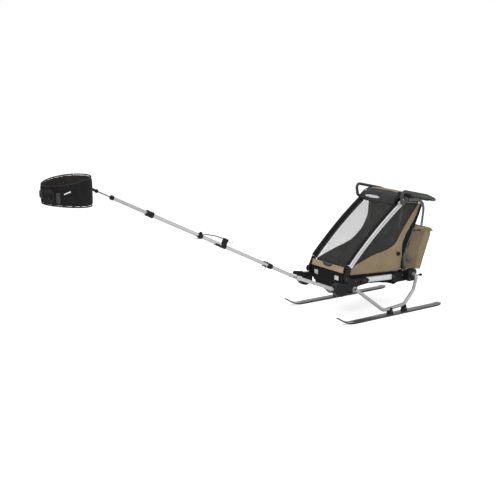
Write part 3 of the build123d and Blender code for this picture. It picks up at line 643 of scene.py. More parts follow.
for side, word in SIDES:
    inner = smooth_line(WINDOW_EDGE, 90)
    outer = smooth_line(HEM, 90)
    wall = between(at_x(inner, 0), at_x(outer, 0), 22)
    u = np.linspace(0, 1, 90)[:, None]
    v = np.linspace(0, 1, 22)[None, :]
    free = np.sin(np.pi * np.clip(v, 0, 1)) ** 0.7 * np.sin(np.pi * np.clip(u, 0, 1)) ** 0.5
    pull = 0.0016 * np.sin(38 * u + 3 * v) * v * (1 - v) * 4 * np.exp(-((u - 0.5) / 0.22) ** 2)
    ruck = 0.0011 * np.sin(90 * u) * np.exp(-((v - 1) / 0.16) ** 2)
    wall[..., 0] = side * (WALL_X + 0.0065 * free + pull * free + ruck)
    tan = surface(f"{word}_tan_wall", wall, tan_cloth, turned=side < 0)
    lined(thicken(tan, 0.0016), black_cloth)

    band = between(at_x(outer[44:], side * (WALL_X - 0.0002)),
                   at_x(smooth_line(REAR_EDGE, 46), side * WALL_X), 7)
    band[..., 0] += side * 0.003 * hump(7)[None, :]
    rear = surface(f"{word}_rear_band", band, black_cloth, turned=side < 0)
    thicken(rear, 0.0022)

    arc = np.stack(by_pillar(np.linspace(4, 728, 60) / 1000, -0.0228), -1)
    above = np.r_[arc, np.linspace(arc[-1], WINDOW_EDGE[-1], 14)[1:]]
    below = line_at(side * 0.2115, WINDOW_EDGE, 73)
    pane = between(at_x(above, side * 0.2105), below, 14)
    pane[..., 0] -= side * 0.002 * hump(14)[None, :]
    net = surface(f"{word}_window_mesh", pane, side_mesh, turned=side < 0)

    seam = cord_edge(f"{word}_window_binding", at_x(WINDOW_EDGE, side * (WALL_X + 0.0003)), 0.0018,
                     black_cloth, 90)
    rear_seam = cord_edge(f"{word}_band_piping", at_x(HEM[4:], side * (WALL_X + 0.001)), 0.0018,
                          black_cloth, 70)
    top_seam = cord_edge(f"{word}_window_top_piping",
                         at_x([(1.34, 0.8835), (1.4, 0.8785), (1.471, 0.8695)],
                              side * (WALL_X + 0.001)), 0.0034, tan_cloth, 24)
    for piece in (tan, rear, net, seam, rear_seam, top_seam):
        cloth_fold(piece)
    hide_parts(f"{word}_side_wall")
    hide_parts(f"{word}_side_wall")
    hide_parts("side_windows")

    wing_line = [(1.05, 0.508), (1.133, 0.539), (1.177, 0.569), (1.232, 0.615), (1.296, 0.72),
                 (1.322, 0.79), (1.332, 0.868)]
    back_line = [(1.06, 0.49), (1.179, 0.522), (1.23, 0.55), (1.28, 0.615), (1.335, 0.69),
                 (1.4, 0.77), (1.468, 0.862)]
    wing = between(line_at(side * 0.2085, back_line, 60),
                   line_at(side * 0.2065, wing_line, 60), 12)
    wing[..., 0] -= side * 0.004 * hump(12)[None, :]
    side_wing = surface(f"{word}_side_wing", wing, black_cloth, turned=side > 0)
    thicken(side_wing, 0.002, 0.0)
    skirt_top = line_at(side * 0.2105, [(0.76, 0.36), (0.887, 0.353), (1.05, 0.343), (1.19, 0.334),
                                        (1.284, 0.33), (1.326, 0.329)], 50)
    skirt_foot = line_at(side * 0.1975, [(0.75, 0.2665), (0.887, 0.2605), (1.05, 0.249),
                                         (1.19, 0.228), (1.284, 0.232), (1.326, 0.238)], 50)
    skirt = surface(f"{word}_side_skirt", between(skirt_top, skirt_foot, 12), black_cloth,
                    turned=side < 0)
    thicken(skirt, 0.0016, 0.0)
    cloth_fold(side_wing)
    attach(skirt, "chassis")


# ---- Front: band with its tab, lower panel, mesh and its bound edges ----
# A tan band crosses the front between the pillar feet, over a black coated panel that narrows
# downwards. The mesh rolls up from the band, and black binding holds it down the pillars.

band_line = [(0.688, 0.3735), (0.6905, 0.384), (0.697, 0.404), (0.7015, 0.4185), (0.705, 0.4205)]
BAND_HALF = 0.1965
profile = line_at(0, band_line, 20)
across = np.linspace(-1, 1, 61)
belly = 0.003 * (1 - across**2)
rows = grid(BAND_HALF * across, profile[:, 1:2], profile[:, 2:])
rows[..., 1] -= belly
rows[..., 2] += belly * 0.4
crease = 0.0008 * np.sin(across * 40) * np.exp(-((np.abs(across) - 0.9) / 0.1) ** 2)
rows[..., 1] -= crease
# The band's tan is the side tan cloth made about half again lighter: painted light on the lit front
# band.
painted_light_tan = woven("painted_light_tan", (0.4, 0.3, 0.185), uneven=0.1)
front_band = surface("tan_front_band", rows, painted_light_tan)
lined(thicken(front_band, 0.005), black_cloth)
front_band.modifiers.new("soft", "BEVEL").width = 0.002
settle(front_band, "chassis", "front_band")

drop = line_at(0, [(0.6965, 0.379), (0.6925, 0.366), (0.690, 0.33), (0.692, 0.28), (0.6965, 0.226)],
               30)
wide = np.interp(drop[:, 2], [0.22, 0.235, 0.33, 0.37], [0.143, 0.152, 0.19, 0.1955])
across = np.linspace(-1, 1, 41)
rows = grid(wide[:, None] * across, drop[:, 1:2], drop[:, 2:])
rows[..., 1] -= 0.006 * (1 - across**2) * np.sin(np.pi * np.linspace(0.05, 0.95, 30))[:, None]
rows[..., 1] += 0.0004 * np.sin(across * 21 + 4 * np.linspace(0, 1, 30)[:, None])
lower_panel = surface("black_lower_panel", rows, black_cloth, turned=True)
thicken(lower_panel, 0.0022)
settle(lower_panel, "chassis", "front_panel")

reflective = satin_metal("reflective_tape", (0.62, 0.63, 0.64), 0.5)
for side, word in SIDES:
    low, high = 0.306, 0.341
    share = np.linspace(0, 1, 6)[:, None]
    level = low + (high - low) * share
    lie = np.interp(level, drop[::-1, 2], drop[::-1, 1])
    wide = side * np.linspace(0.106, 0.154, 7)[None, :]
    lift = 0.006 * (1 - (wide / 0.2) ** 2) + 0.0022
    patch = grid(wide, lie - lift, level)
    tape = surface(f"{word}_front_reflector", patch, reflective, turned=side < 0)
    thicken(tape, 0.0012)
    settle(tape, "chassis")

tab_webbing = woven("tab_webbing", (0.06, 0.064, 0.075), 0.002, 0.0004)
share = np.linspace(0, 1, 13)[:, None]
wide = np.interp(share, [0, 0.45, 0.9, 1], [0.062, 0.06, 0.034, 0.03])
across = np.linspace(-1, 1, 13)[None, :]
lie = line_at(0, band_line, 40)
lie = lie[np.linspace(37, 16, 13).astype(int)]
rows = grid(wide * across, lie[:, 1:2] - 0.0045, lie[:, 2:3] + 0.001)
tab = surface("front_band_tab", rows, tab_webbing, turned=True)
thicken(tab, 0.002)
settle(tab, "chassis")

front_net = netting("front_mesh", (0.11, 0.108, 0.104), 0.0022, 0.15)
MESH_HALF = 0.2115
along = np.linspace(-24, 655, 80)[:, None] / 1000
across = np.linspace(-1, 1, 31)[None, :]
crown = 0.0105 + 0.004 * (1 - across**2) + 0 * along
y, z = by_pillar(along, crown)
rows = grid(MESH_HALF * across, y, z)
mesh_sheet = surface("front_mesh_sheet", rows, front_net)
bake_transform(mesh_sheet)
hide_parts("front_mesh")

for side, word in SIDES:
    outline = np.array([(0.2134, -0.021), (0.2134, 0.0235), (0.2366, 0.0235), (0.2366, 0.0258),
                        (0.2126, 0.0264), (0.2, 0.0262), (0.1975, 0.0135), (0.1975, 0.0122),
                        (0.2105, 0.0122), (0.2118, 0.011), (0.2118, -0.021)])
    along = np.linspace(6, 677, 90)[:, None] / 1000
    y, z = by_pillar(along, outline[None, :, 1])
    rows = grid(side * outline[None, :, 0], y, z)
    binding = closed(f"{word}_mesh_binding", rows, black_cloth, turned=side > 0, sharp=45)
    settle(binding, "upper_frame")

foot_line = np.array([(-0.2045, 0.006, 0.0005), (-0.2035, -0.006, 0), (-0.196, -0.015, 0),
                      (-0.1, -0.017, 0.0035), (0, -0.017, 0.005), (0.1, -0.017, 0.0035),
                      (0.196, -0.015, 0), (0.2035, -0.006, 0), (0.2045, 0.006, 0.0005)])
y, z = by_pillar(foot_line[:, 1], 0.0125 + foot_line[:, 2])
hem = cord_edge("mesh_foot_binding", np.c_[foot_line[:, 0], y, z], 0.005, black_cloth, 90)
settle(hem, "chassis")

# ---- Roof: dark visor, tan roof panel, their piped edges and a bare light patch ----
# One stretched cover from the brow over the handlebar's hubs to the rear edge. The brow is dark
# coated cloth with a rolled black edge, and the panel behind it is tan.

visor_cloth = woven("visor_cloth", (0.04, 0.04, 0.042), 0.0018, 0.0004, rough=0.6, uneven=0.35)
ROOF_HALF = 0.2055
ROOF_TOP = [(1.221, 0.8685), (1.2245, 0.893), (1.2335, 0.926), (1.249, 0.953), (1.272, 0.970),
            (1.3, 0.9775), (1.331, 0.977), (1.375, 0.966), (1.42, 0.95), (1.466, 0.919),
            (1.506, 0.884)]
ROOF_LOW = [(1.214, 0.893), (1.213, 0.905), (1.222, 0.913), (1.238, 0.92), (1.262, 0.9265),
            (1.29, 0.926), (1.331, 0.917), (1.362, 0.905), (1.4, 0.893), (1.45, 0.88),
            (1.5, 0.868)]


def roof_rows(first, last, steps, lift=0.0):
    """Rows across the roof between two of its corners: each row leaves one side edge straight up,
    turns over on a rounded shoulder, and crosses to the other side."""
    share = np.linspace(0, 1, 121)
    top, low = line_at(0, ROOF_TOP, 121), line_at(0, ROOF_LOW, 121)
    keep = np.linspace(first, last, steps)
    top, low = [np.stack([np.interp(keep, share, line[:, k]) for k in range(3)], -1)
                for line in (top, low)]
    turn = np.linspace(0, np.pi, 49)
    across = eased(np.cos(turn), 0.56)
    rise = np.abs(np.sin(turn)) ** 0.56
    rows = low[:, None] + (top - low)[:, None] * rise[None, :, None]
    rows[..., 0] = -(ROOF_HALF + lift) * across[None, :]
    rows[..., 2] += lift * rise
    return rows


VISOR_END = 0.31
rows = roof_rows(0, VISOR_END, 44)
sag = hump(44)[:, None]
rows[..., 2] -= 0.0012 * sag * np.cos(rows[..., 0] * 60)
rows[..., 1] += 0.0015 * sag * np.sin(rows[..., 0] * 34 + 0.6)
visor = surface("dark_visor", rows, visor_cloth)
lined(thicken(visor, 0.0016), black_cloth)
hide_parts("roof_visor")
roof_rows_back = roof_rows(VISOR_END + 0.002, 1, 50)
sag = hump(50)[:, None]
roof_rows_back[..., 2] -= 0.003 * sag * (1 - (roof_rows_back[..., 0] / ROOF_HALF) ** 2)
roof = surface("tan_roof", roof_rows_back[:, 13:-13], tan_cloth)
lined(thicken(roof, 0.0016), black_cloth)
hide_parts("roof_panel")
shoulders = []
for word, part in (("left", roof_rows_back[:, -14:]), ("right", roof_rows_back[:, :14])):
    shoulder = surface(f"{word}_roof_shoulder", part, black_cloth)
    thicken(shoulder, 0.0016)
    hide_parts("roof_panel")
    shoulders.append(shoulder)

hem_path = roof_rows(0, 0.01, 2)[0]
brow = cord_edge("brow_piping", hem_path[2:-2:2], 0.0034, black_cloth, 90)
rear_piping = cord_edge("roof_rear_piping", roof_rows_back[-1, 2:-2:2], 0.003, black_cloth, 80)
seam = cord_edge("roof_seam", roof_rows(VISOR_END, VISOR_END + 0.01, 2, 0.0008)[0, 1:-1:2], 0.0016,
                 black_cloth, 90)
ridges = [cord_edge(f"{word}_visor_ridge", at_x([(1.213, 0.913), (1.235, 0.932), (1.253, 0.944),
                    (1.278, 0.955), (1.303, 0.962), (1.335, 0.962), (1.4, 0.944)], side * 0.2045),
                    0.0042, black_cloth, 60) for side, word in SIDES]
for piece in (visor, roof, brow, rear_piping, seam, *shoulders, *ridges):
    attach(piece, "upper_frame")

bare_patch = moulded("bare_patch", (0.5, 0.51, 0.52), 0.45)
oval = whole_turn(40)
ring_share = np.array([1.0, 0.97, 0.7, 0.35])[:, None]
patch_x = -0.078 + 0.088 * eased(np.cos(oval), 0.8) * ring_share
patch_z = 0.9085 + 0.0115 * np.sin(oval) * ring_share + 0.012 * (patch_x + 0.078)
middle = rows[:, 24]
lie = np.interp(patch_z, middle[:, 2], middle[:, 1])
lie += 0.006 * (patch_x / ROOF_HALF) ** 4 - 0.0042 - 0.0009 * (1 - ring_share**2)
lie[0] += 0.003
patch = closed("visor_patch", np.stack([patch_x, lie, patch_z], -1), bare_patch, turned=True)
settle(patch, "upper_frame")


# ---- Inside: floor sling, seat, backrest, rear wall and harness ----
# The floor is a coated sling laced between the rails. The seat and the backrest are foam pads in a
# sewn cover with flat channels, and a webbing harness comes down over the backrest.


def rear_fold(piece):
    """Bakes a piece's placement into its mesh."""
    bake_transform(piece)


REAR_HALF, FLOOR_WIDE = 0.1915, 0.198
rear = line_at(0, [(1.305, 0.332), (1.3055, 0.43), (1.308, 0.532), (1.352, 0.614), (1.404, 0.7),
                   (1.456, 0.786), (1.505, 0.866)], 60)
across = np.linspace(-1, 1, 37)
rows = grid(REAR_HALF * across, rear[:, 1:2], rear[:, 2:])
give = hump(60)[:, None] * (1 - across**2)
rows[..., 1] += 0.003 * give + 0.0008 * np.sin(across * 30) * give
crest = (1 - (REAR_HALF / ROOF_HALF * np.abs(across)) ** 3.57) ** 0.28
rows[..., 2] += 0.0195 * crest * np.clip((np.linspace(0, 1, 60)[:, None] - 0.86) / 0.14, 0, 1)
rear_panel = surface("rear_wall_cloth", rows, black_cloth, turned=True)
thicken(rear_panel, 0.002, 0.0)
rear_fold(rear_panel)
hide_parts("rear_wall")

sling = line_at(0, [(0.748, 0.2655), (0.9, 0.2585), (1.05, 0.2475), (1.12, 0.2405), (1.19, 0.2235),
                    (1.255, 0.208), (1.285, 0.223), (1.2865, 0.249)], 70)
rows = grid(FLOOR_WIDE * across, sling[:, 1:2], sling[:, 2:])
rows[..., 2] -= 0.003 * (1 - across**2) * hump(70)[:, None]
sling_cloth = surface("floor_cloth", rows, black_cloth, turned=True)
thicken(sling_cloth, 0.002, 0.0)
settle(sling_cloth, "chassis", "floor_sling")


def pad_rows(front, back, half, steps):
    """Rows round a pad between its two face lines: a box with rounded corners, from its lower end
    to its upper one, its ends drawn in."""
    turn = whole_turn(72)
    across, deep = eased(np.cos(turn), 0.3), eased(np.sin(turn), 0.3)
    first, second = line_at(0, front, steps), line_at(0, back, steps)
    middle, out = (first + second) / 2, (first - second) / 2
    ends = np.linspace(-1, 1, steps)
    draw = np.clip(1 - np.abs(ends) ** 14, 0, 1) ** 0.5
    draw = 0.55 + 0.45 * draw
    rows = middle[:, None] + out[:, None] * (deep[None, :] * draw[:, None])[..., None]
    rows[..., 0] += half * (across[None, :] * (0.9 + 0.1 * draw[:, None]))
    return rows


def places_in(items, field="co"):
    """Where a mesh's vertices are, or another field of three values, as an (n, 3) array."""
    flat = np.empty(len(items) * 3)
    items.foreach_get(field, flat)
    return flat.reshape(-1, 3)


def puffed(piece, voxel, cap, pressure=4.0, moments=20):
    """Blows a closed cover up like a stuffed one: cloth under pressure with no weight, no point
    moving more than cap, and the result smoothed once."""
    scene = bpy.context.scene
    remesh = piece.modifiers.new("remesh", "REMESH")
    remesh.mode, remesh.voxel_size = "VOXEL", voxel
    bpy.context.view_layer.update()
    seen = bpy.context.evaluated_depsgraph_get()
    ready = bpy.data.meshes.new_from_object(piece.evaluated_get(seen))
    finish = piece.data.materials[0]
    piece.modifiers.clear()
    piece.data = ready
    ready.materials.clear()
    ready.materials.append(finish)
    start = places_in(ready.vertices)
    cloth = piece.modifiers.new("cloth", "CLOTH")
    cloth.settings.use_pressure = True
    cloth.settings.uniform_pressure_force = pressure
    cloth.settings.effector_weights.gravity = 0
    cloth.settings.quality = 4
    cloth.point_cache.frame_start, cloth.point_cache.frame_end = 1, moments
    for moment in range(1, moments + 1):
        scene.frame_set(moment)
    blown = piece.evaluated_get(bpy.context.evaluated_depsgraph_get()).to_mesh()
    step = places_in(blown.vertices) - start
    piece.modifiers.clear()
    scene.frame_set(1)
    far = np.linalg.norm(step, axis=1, keepdims=True)
    end = start + step * np.minimum(1, cap / np.maximum(far, 1e-9))
    piece.data.vertices.foreach_set("co", end.ravel())
    piece.data.shade_smooth()
    piece.data.update()
    return piece


def round_off(piece):
    """One last subdivision."""
    smooth = piece.modifiers.new("smooth", "SUBSURF")
    smooth.levels = smooth.render_levels = 1


pad_cloth = woven("pad_cloth", (0.022, 0.022, 0.024), source="Object", ways=("X", "Z"))
seat_rows = pad_rows([(0.982, 0.308), (1.05, 0.312), (1.12, 0.302), (1.19, 0.284), (1.252, 0.266)],
                     [(0.968, 0.27), (1.05, 0.262), (1.12, 0.25), (1.18, 0.238), (1.24, 0.224)],
                     0.152, 40)
seat = puffed(closed("seat_pad", seat_rows, pad_cloth), 0.005, 0.006)
round_off(seat)
settle(seat, "chassis", "seat_cushion")

back_rows = pad_rows([(1.27, 0.298), (1.27, 0.42), (1.2705, 0.54), (1.327, 0.632),
                      (1.385, 0.728), (1.44, 0.816)],
                     [(1.287, 0.298), (1.287, 0.42), (1.2875, 0.535), (1.342, 0.622),
                      (1.4, 0.718), (1.456, 0.806)],
                     0.154, 60)
back_rows[..., 1] -= 0.0035 * np.cos(np.linspace(0, 9 * np.pi, 60))[:, None]
backrest = puffed(closed("back_pad", back_rows, pad_cloth, turned=True), 0.005, 0.005)
round_off(backrest)
rear_fold(backrest)
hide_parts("backrest")

for side, word in SIDES:
    belt_line = [(side * 0.05, 1.318, 0.66), (side * 0.052, 1.292, 0.628),
                 (side * 0.05, 1.262, 0.58), (side * 0.042, 1.246, 0.48),
                 (side * 0.02, 1.228, 0.38), (side * 0.006, 1.19, 0.34)]
    shoulder = strap(f"{word}_shoulder_strap", belt_line, 0.024, 0.0018, (1.0, 0, 0), black_cloth)
    lap = strap(f"{word}_lap_strap", [(side * 0.13, 1.262, 0.3), (side * 0.1, 1.225, 0.322),
                (side * 0.05, 1.2, 0.334), (side * 0.012, 1.19, 0.338)], 0.024, 0.0018,
                (0, 0.3, 1.0), black_cloth)
    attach(lap, "chassis")
    rear_fold(shoulder)
buckle_rows = turned_round([(-0.008, 0.012), (-0.006, 0.019), (0.004, 0.02), (0.008, 0.014)],
                           (0, 1.186, 0.34), (0, -0.8, 0.6), 28)
buckle = closed("harness_buckle", buckle_rows, black_nylon, sharp=50)
settle(buckle, "chassis")

# ---- Cargo bag: tan bag with its flap, piped edges and hold-down straps ----
# A soft bag of the same tan cloth hangs behind the rear wall. Its side gusset folds in, its flap
# closes over a rolled rim, and a short dark strap holds the flap down.

BAG_HALF = 0.194
FRONT = [(1.322, 0.322), (1.321, 0.42), (1.325, 0.532), (1.365, 0.597), (1.412, 0.655)]
BACK = [(1.562, 0.29), (1.602, 0.4), (1.648, 0.52), (1.668, 0.578), (1.676, 0.628)]


def ring_of(front, back, half, corner):
    """Closed rows round a soft box between a front and a back line."""
    turn = whole_turn(120) + 0.013
    across, deep = eased(np.cos(turn), corner), eased(np.sin(turn), corner)
    middle, out = (front + back) / 2, (back - front) / 2
    rows = middle[:, None] + out[:, None] * deep[None, :, None]
    rows[..., 0] = half * across[None, :]
    return rows, across, deep


front, back = line_at(0, FRONT, 70), line_at(0, BACK, 70)
rows, across, deep = ring_of(front, back, BAG_HALF, 0.14)
level = np.linspace(0, 1, 70)[:, None]
full = np.sin(np.pi * np.clip(level * 0.92 + 0.04, 0, 1))
edge = np.abs(across) ** 3
valley = np.exp(-((deep[None, :] + 0.28 - 0.1 * level) / 0.2) ** 2) * edge
bulge = np.exp(-((deep[None, :] - 0.35) / 0.3) ** 2)
rows[..., 0] *= 1 - 0.13 * valley * full + 0.02 * full * bulge * edge
rows[..., 1] += 0.008 * full * np.clip(deep, 0, 1) ** 2 * (1 - np.abs(across) ** 4)
folds = np.sin(46 * level + 5 * deep[None, :] + 2 * across[None, :])
rows[..., 0] += 0.0016 * np.sign(across) * folds * edge * np.exp(-((level - 0.85) / 0.16) ** 2)
creases = np.sin(28 * rows[..., 0] + 9 * level) * np.sin(31 * level + 2)
rows[..., 1] += 0.0016 * creases * np.clip(deep, 0, 1)
rows[..., 2] -= 0.008 * (1 - level) ** 4 * (1 - np.abs(across) ** 4) * (1 - deep**4)
bag = closed("tan_bag", rows, tan_cloth, turned=True)
# The front part of each side gusset gets a darker tan: painted shade where the frame and the inward
# fold shade it.
painted_shade_tan = woven("painted_shade_tan", (0.19, 0.147, 0.093), uneven=0.2)
bag.data.materials.append(painted_shade_tan)
gusset = (deep < 0.02) & (np.abs(across) > 0.97)
marks = np.zeros(len(bag.data.polygons), np.int32)
runs = len(rows) - 1
marks[: runs * len(gusset)] = np.tile(gusset, runs)
bag.data.polygons.foreach_set("material_index", marks)
round_off(bag)

flap_line = line_at(0, [(1.4, 0.662), (1.43, 0.6665), (1.5, 0.6695), (1.56, 0.661), (1.62, 0.648),
                        (1.656, 0.64), (1.6735, 0.634), (1.679, 0.622), (1.6785, 0.606)], 60)
drop = line_at(0, [(1.4, 0.646), (1.43, 0.644), (1.5, 0.641), (1.56, 0.632), (1.62, 0.62),
                   (1.656, 0.612), (1.6735, 0.607), (1.678, 0.604), (1.6775, 0.602)], 60)
turn = np.linspace(0, np.pi, 49)
side_way = -eased(np.cos(turn), 0.3)
rise = np.abs(np.sin(turn)) ** 0.3
rows = drop[:, None] + (flap_line - drop)[:, None] * rise[None, :, None]
rows[..., 0] = (BAG_HALF + 0.0025) * side_way
ruffle = np.sin(np.linspace(0, 26, 60))[:, None] * (1 - rise)
rows[..., 0] += 0.0016 * ruffle * np.sign(side_way)
rows[..., 2] += 0.0014 * np.sin(np.linspace(0, 17, 60))[:, None] * np.cos(side_way * 5)
flap = surface("tan_bag_flap", rows, tan_cloth)
thicken(flap, 0.0022)
flap_piping = cord_edge("flap_piping", rows[8:, 1], 0.0021, tan_cloth, 70)
far_piping = cord_edge("far_flap_piping", rows[8:, -2], 0.0021, tan_cloth, 70)
brown_strap = woven("brown_strap", (0.06, 0.045, 0.032), 0.002, 0.0004)
hold_down = [strap(f"{word}_flap_strap", [(side * 0.1945, 1.436, 0.632),
                   (side * 0.1955, 1.47, 0.639), (side * 0.1965, 1.508, 0.636),
                   (side * 0.1965, 1.53, 0.629)], 0.018, 0.002, (0, 0.1, 1.0), brown_strap)
             for side, word in SIDES]
for piece in (bag, flap, flap_piping, far_piping, *hold_down):
    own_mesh(piece)
    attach(piece, "chassis")
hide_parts("cargo_bag")
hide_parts("bag_flap")

# ---- Catch: knob, lever and strap at the rear posts ----
# A turning knob holds each folded side, with a moulded lever and a grey strap up the rear band.

for side, word in SIDES:
    knob_rows = turned_round([(-0.004, 0.005), (0.0, 0.0145), (0.006, 0.016), (0.014, 0.0155),
                              (0.018, 0.012)], (side * 0.2225, 1.258, 0.468), (side, 0, 0), 28)
    knob = closed(f"{word}_catch_knob", knob_rows, black_nylon, sharp=40)
    cloth_fold(knob)
    lever_line = [(side * 0.2245, 1.318, 0.452), (side * 0.2265, 1.345, 0.44),
                  (side * 0.2265, 1.385, 0.412), (side * 0.2255, 1.43, 0.38)]
    lever = strap(f"{word}_catch_lever", lever_line, 0.029, 0.0056, (0, 0.55, 1.0), grey_nylon, 30,
                  sharp=40)
    settle(lever, "chassis")
    rib_line = [(side * 0.2205, 1.335, 0.448), (side * 0.2215, 1.352, 0.505),
                (side * 0.2215, 1.394, 0.596), (side * 0.2205, 1.428, 0.662)]
    rib = strap(f"{word}_fold_strap", rib_line, 0.013, 0.0028, (0, 1.0, -0.4), grey_webbing, 30)
    cloth_fold(rib)

# ---- Pulling pole: tubes, forks, clip, knob, clamp, tether and hook ----
# Drawn aluminium tubes, satin behind the clamp and greyer in front of it, with moulded black
# fittings on pins. A pale strap runs from the clip to the knob, and a wire hook stands on the clip.

pole_metal = satin_metal("pole_tube", (0.42, 0.425, 0.43), 0.34)
coat_with(pole_metal, "arm_tube", "rear_pole_tube", "main_pole_tube", "swing_tongue", "lift_fork",
          "lift_tongue")
coat_with(grey_metal, "front_pole_tube")
coat_with(black_nylon, "swing_fork", "pole_clip", "pole_knob", "length_clamp", "pole_end_cap")
coat_with(black_metal, "belt_link")

JOINT = np.array((0.187, 0.224, 0.409))
RUN = np.array((-0.1084, -0.8879, 0.4471))
OUT = np.array((0.9926, -0.1212, 0.0))
UP = np.array((0.0542, 0.4438, 0.8945))


def on_pole(corners):
    """Points given by (distance along the pole, height over its axis, distance beside it)."""
    corners = np.asarray(corners, float)
    return JOINT + corners[:, :1] * RUN + corners[:, 1:2] * UP + corners[:, 2:] * OUT


bright_pin = satin_metal("bright_pin", (0.2, 0.2, 0.205), 0.3)
for word, run, axis, reach, finish in (("lift", 0.0, OUT, 0.0215, black_nylon),
                                       ("swing", 0.276, UP, 0.0212, bright_pin)):
    at = on_pole([(run, 0.0, 0.0)])[0]
    bolts(f"{word}_pin_heads", [(at + sign * reach * axis, sign * axis) for sign in (1, -1)],
          "rear_pole", 0.0065, finish)
bolts("clamp_bolts", [(on_pole([(1.294 + step, 0.0, 0.0175)])[0], OUT) for step in (-0.012, 0.016)],
      "main_pole", radius=0.0045)

tether_webbing = woven("tether_webbing", (0.24, 0.24, 0.236), 0.002, 0.0003, uneven=0.12)
tether_line = on_pole([(0.8565, 0.0195, 0), (0.842, 0.0255, 0), (0.819, 0.031, 0),
                       (0.775, 0.041, 0), (0.731, 0.047, 0), (0.694, 0.049, 0)])
tether = strap("tether_strap", tether_line, 0.012, 0.0024, 0.6 * OUT + 0.8 * UP, tether_webbing,
               70)
settle(tether, "main_pole", "pole_tether")

hook_wire = on_pole([(0.6545, 0.046, 0), (0.643, 0.0445, 0), (0.634, 0.0395, 0),
                     (0.6265, 0.0375, 0), (0.619, 0.041, 0), (0.615, 0.05, 0), (0.6145, 0.06, 0)])
turn = whole_turn(12)
wire = 0.0023 * np.c_[np.cos(turn), np.sin(turn)]
hook = closed("clip_hook", carried(smooth_line(hook_wire, 60), wire, OUT), bright_pin)
settle(hook, "main_pole")

lever_path = smooth_line(on_pole([(0.874, -0.0175, 0.012), (0.883, -0.0225, 0.015),
                                  (0.896, -0.027, 0.018), (0.914, -0.027, 0.018)]), 40)
flare = np.stack([strap_section(0.008 + 0.008 * np.sin(np.pi * part) ** 2, 0.0046)
                  for part in np.linspace(0.1, 0.75, 40)])
knob_lever = closed("knob_lever", carried(lever_path, flare, OUT), grey_nylon, sharp=50)
settle(knob_lever, "main_pole")

rib_profile = [(-0.0022, 0.0128), (-0.0012, 0.0162), (0.0012, 0.0162), (0.0022, 0.0128)]
grip_ribs = [closed(f"cap_rib_{count}",
                    turned_round(rib_profile, on_pole([(run, 0, 0)])[0], RUN, 40),
                    black_nylon, sharp=50) for count, run in enumerate((1.581, 1.588, 1.595))]
ribs = joined("cap_ribs", grip_ribs)
settle(ribs, "front_pole")

# ---- Hip belt: padded loop, bound edges, lining, pocket, slot, bare label and buckle ----
# Two layers of black cloth over foam, deep at the back where the hitch plate is sewn on. Its two
# ends meet in a side-release buckle, and its lining is quilted in upright channels.

coat_with(black_nylon, "belt_hitch")
BELT_MIDDLE, BELT_X, BELT_Y, BELT_DEEP = -1.499, 0.175, 0.165, 0.016
belt_cloth = woven("belt_cloth", (0.0125, 0.0125, 0.013), uneven=0.3, source="Object",
                   ways=("X", "Z"))
lining_cloth = woven("lining_cloth", (0.03, 0.0275, 0.023), uneven=0.35, source="Object",
                     ways=("X", "Z"))


def on_belt(turn, level, lift):
    """Points on the belt's outer side: an angle from its buckle, a height share from -1 to 1
    between its lower and upper edges, and a distance out from it."""
    turn, level, lift = np.broadcast_arrays(turn, level, lift)
    back = (1 - np.cos(turn)) / 2
    high, low = 1.236 + 0.048 * back, 1.119 - 0.031 * back
    high = high + 0.007 * np.clip(-np.sin(turn), 0, 1) ** 2
    out = np.stack([BELT_Y * np.sin(turn), -BELT_X * np.cos(turn), 0 * turn], -1)
    out = out / np.linalg.norm(out, axis=-1, keepdims=True)
    place = np.stack([BELT_X * np.sin(turn), BELT_MIDDLE - BELT_Y * np.cos(turn),
                      (high + low) / 2 + level * (high - low) / 2], -1)
    return place + lift[..., None] * out


def belt_reach(places):
    """How far out on the belt's oval places are: 1 on its outer line."""
    return np.hypot(places[:, 0] / BELT_X, (places[:, 1] - BELT_MIDDLE) / BELT_Y)


span = np.linspace(0.035, 2 * np.pi - 0.035, 200)[:, None]
ring = whole_turn(64)[None, :]
thick = 0.0105
deep = eased(np.cos(ring), 0.7) * thick / 2
tall = eased(np.sin(ring), 0.28) * 0.965
hips = 1 - 0.05 * np.exp(-((np.abs(span - np.pi) - np.pi) / 0.4) ** 2)
belt = closed("belt_pad", on_belt(span, tall * hips, deep - BELT_DEEP / 2), belt_cloth, turned=True)
belt = puffed(belt, 0.005, 0.0028, 5.0)
CHANNELS, BELT_LEVEL, CORE = 14, 1.18, 1 - 0.5 * BELT_DEEP / BELT_X
co = places_in(belt.data.vertices)
turn = np.arctan2(co[:, 0] / BELT_X, (BELT_MIDDLE - co[:, 1]) / BELT_Y) % (2 * np.pi)
reach = belt_reach(co)
inside = np.clip((CORE - reach) / 0.02, 0, 1)
channel = np.exp(-((np.abs((turn * CHANNELS / (2 * np.pi)) % 1 - 0.5)) / 0.045) ** 2)
off_edge = np.abs(co[:, 2] - BELT_LEVEL) - 0.045 - 0.016 * (1 - np.cos(turn))
edge_seam = np.exp(-(off_edge / 0.0035) ** 2)
push = 0.0032 * channel * inside + 0.0012 * edge_seam * (1 - 2 * (reach > CORE))
away = co[:, :2] - (0, BELT_MIDDLE)
co[:, :2] += push[:, None] * away / np.hypot(*away.T)[:, None]
belt.data.vertices.foreach_set("co", co.ravel())
belt.data.update()
belt.data.materials.append(lining_cloth)
near = belt_reach(places_in(belt.data.polygons, "center")) < 1 - 0.55 * BELT_DEEP / BELT_X
belt.data.polygons.foreach_set("material_index", near.astype(np.int32))
round_off(belt)
settle(belt, "waist_belt", "hip_belt")

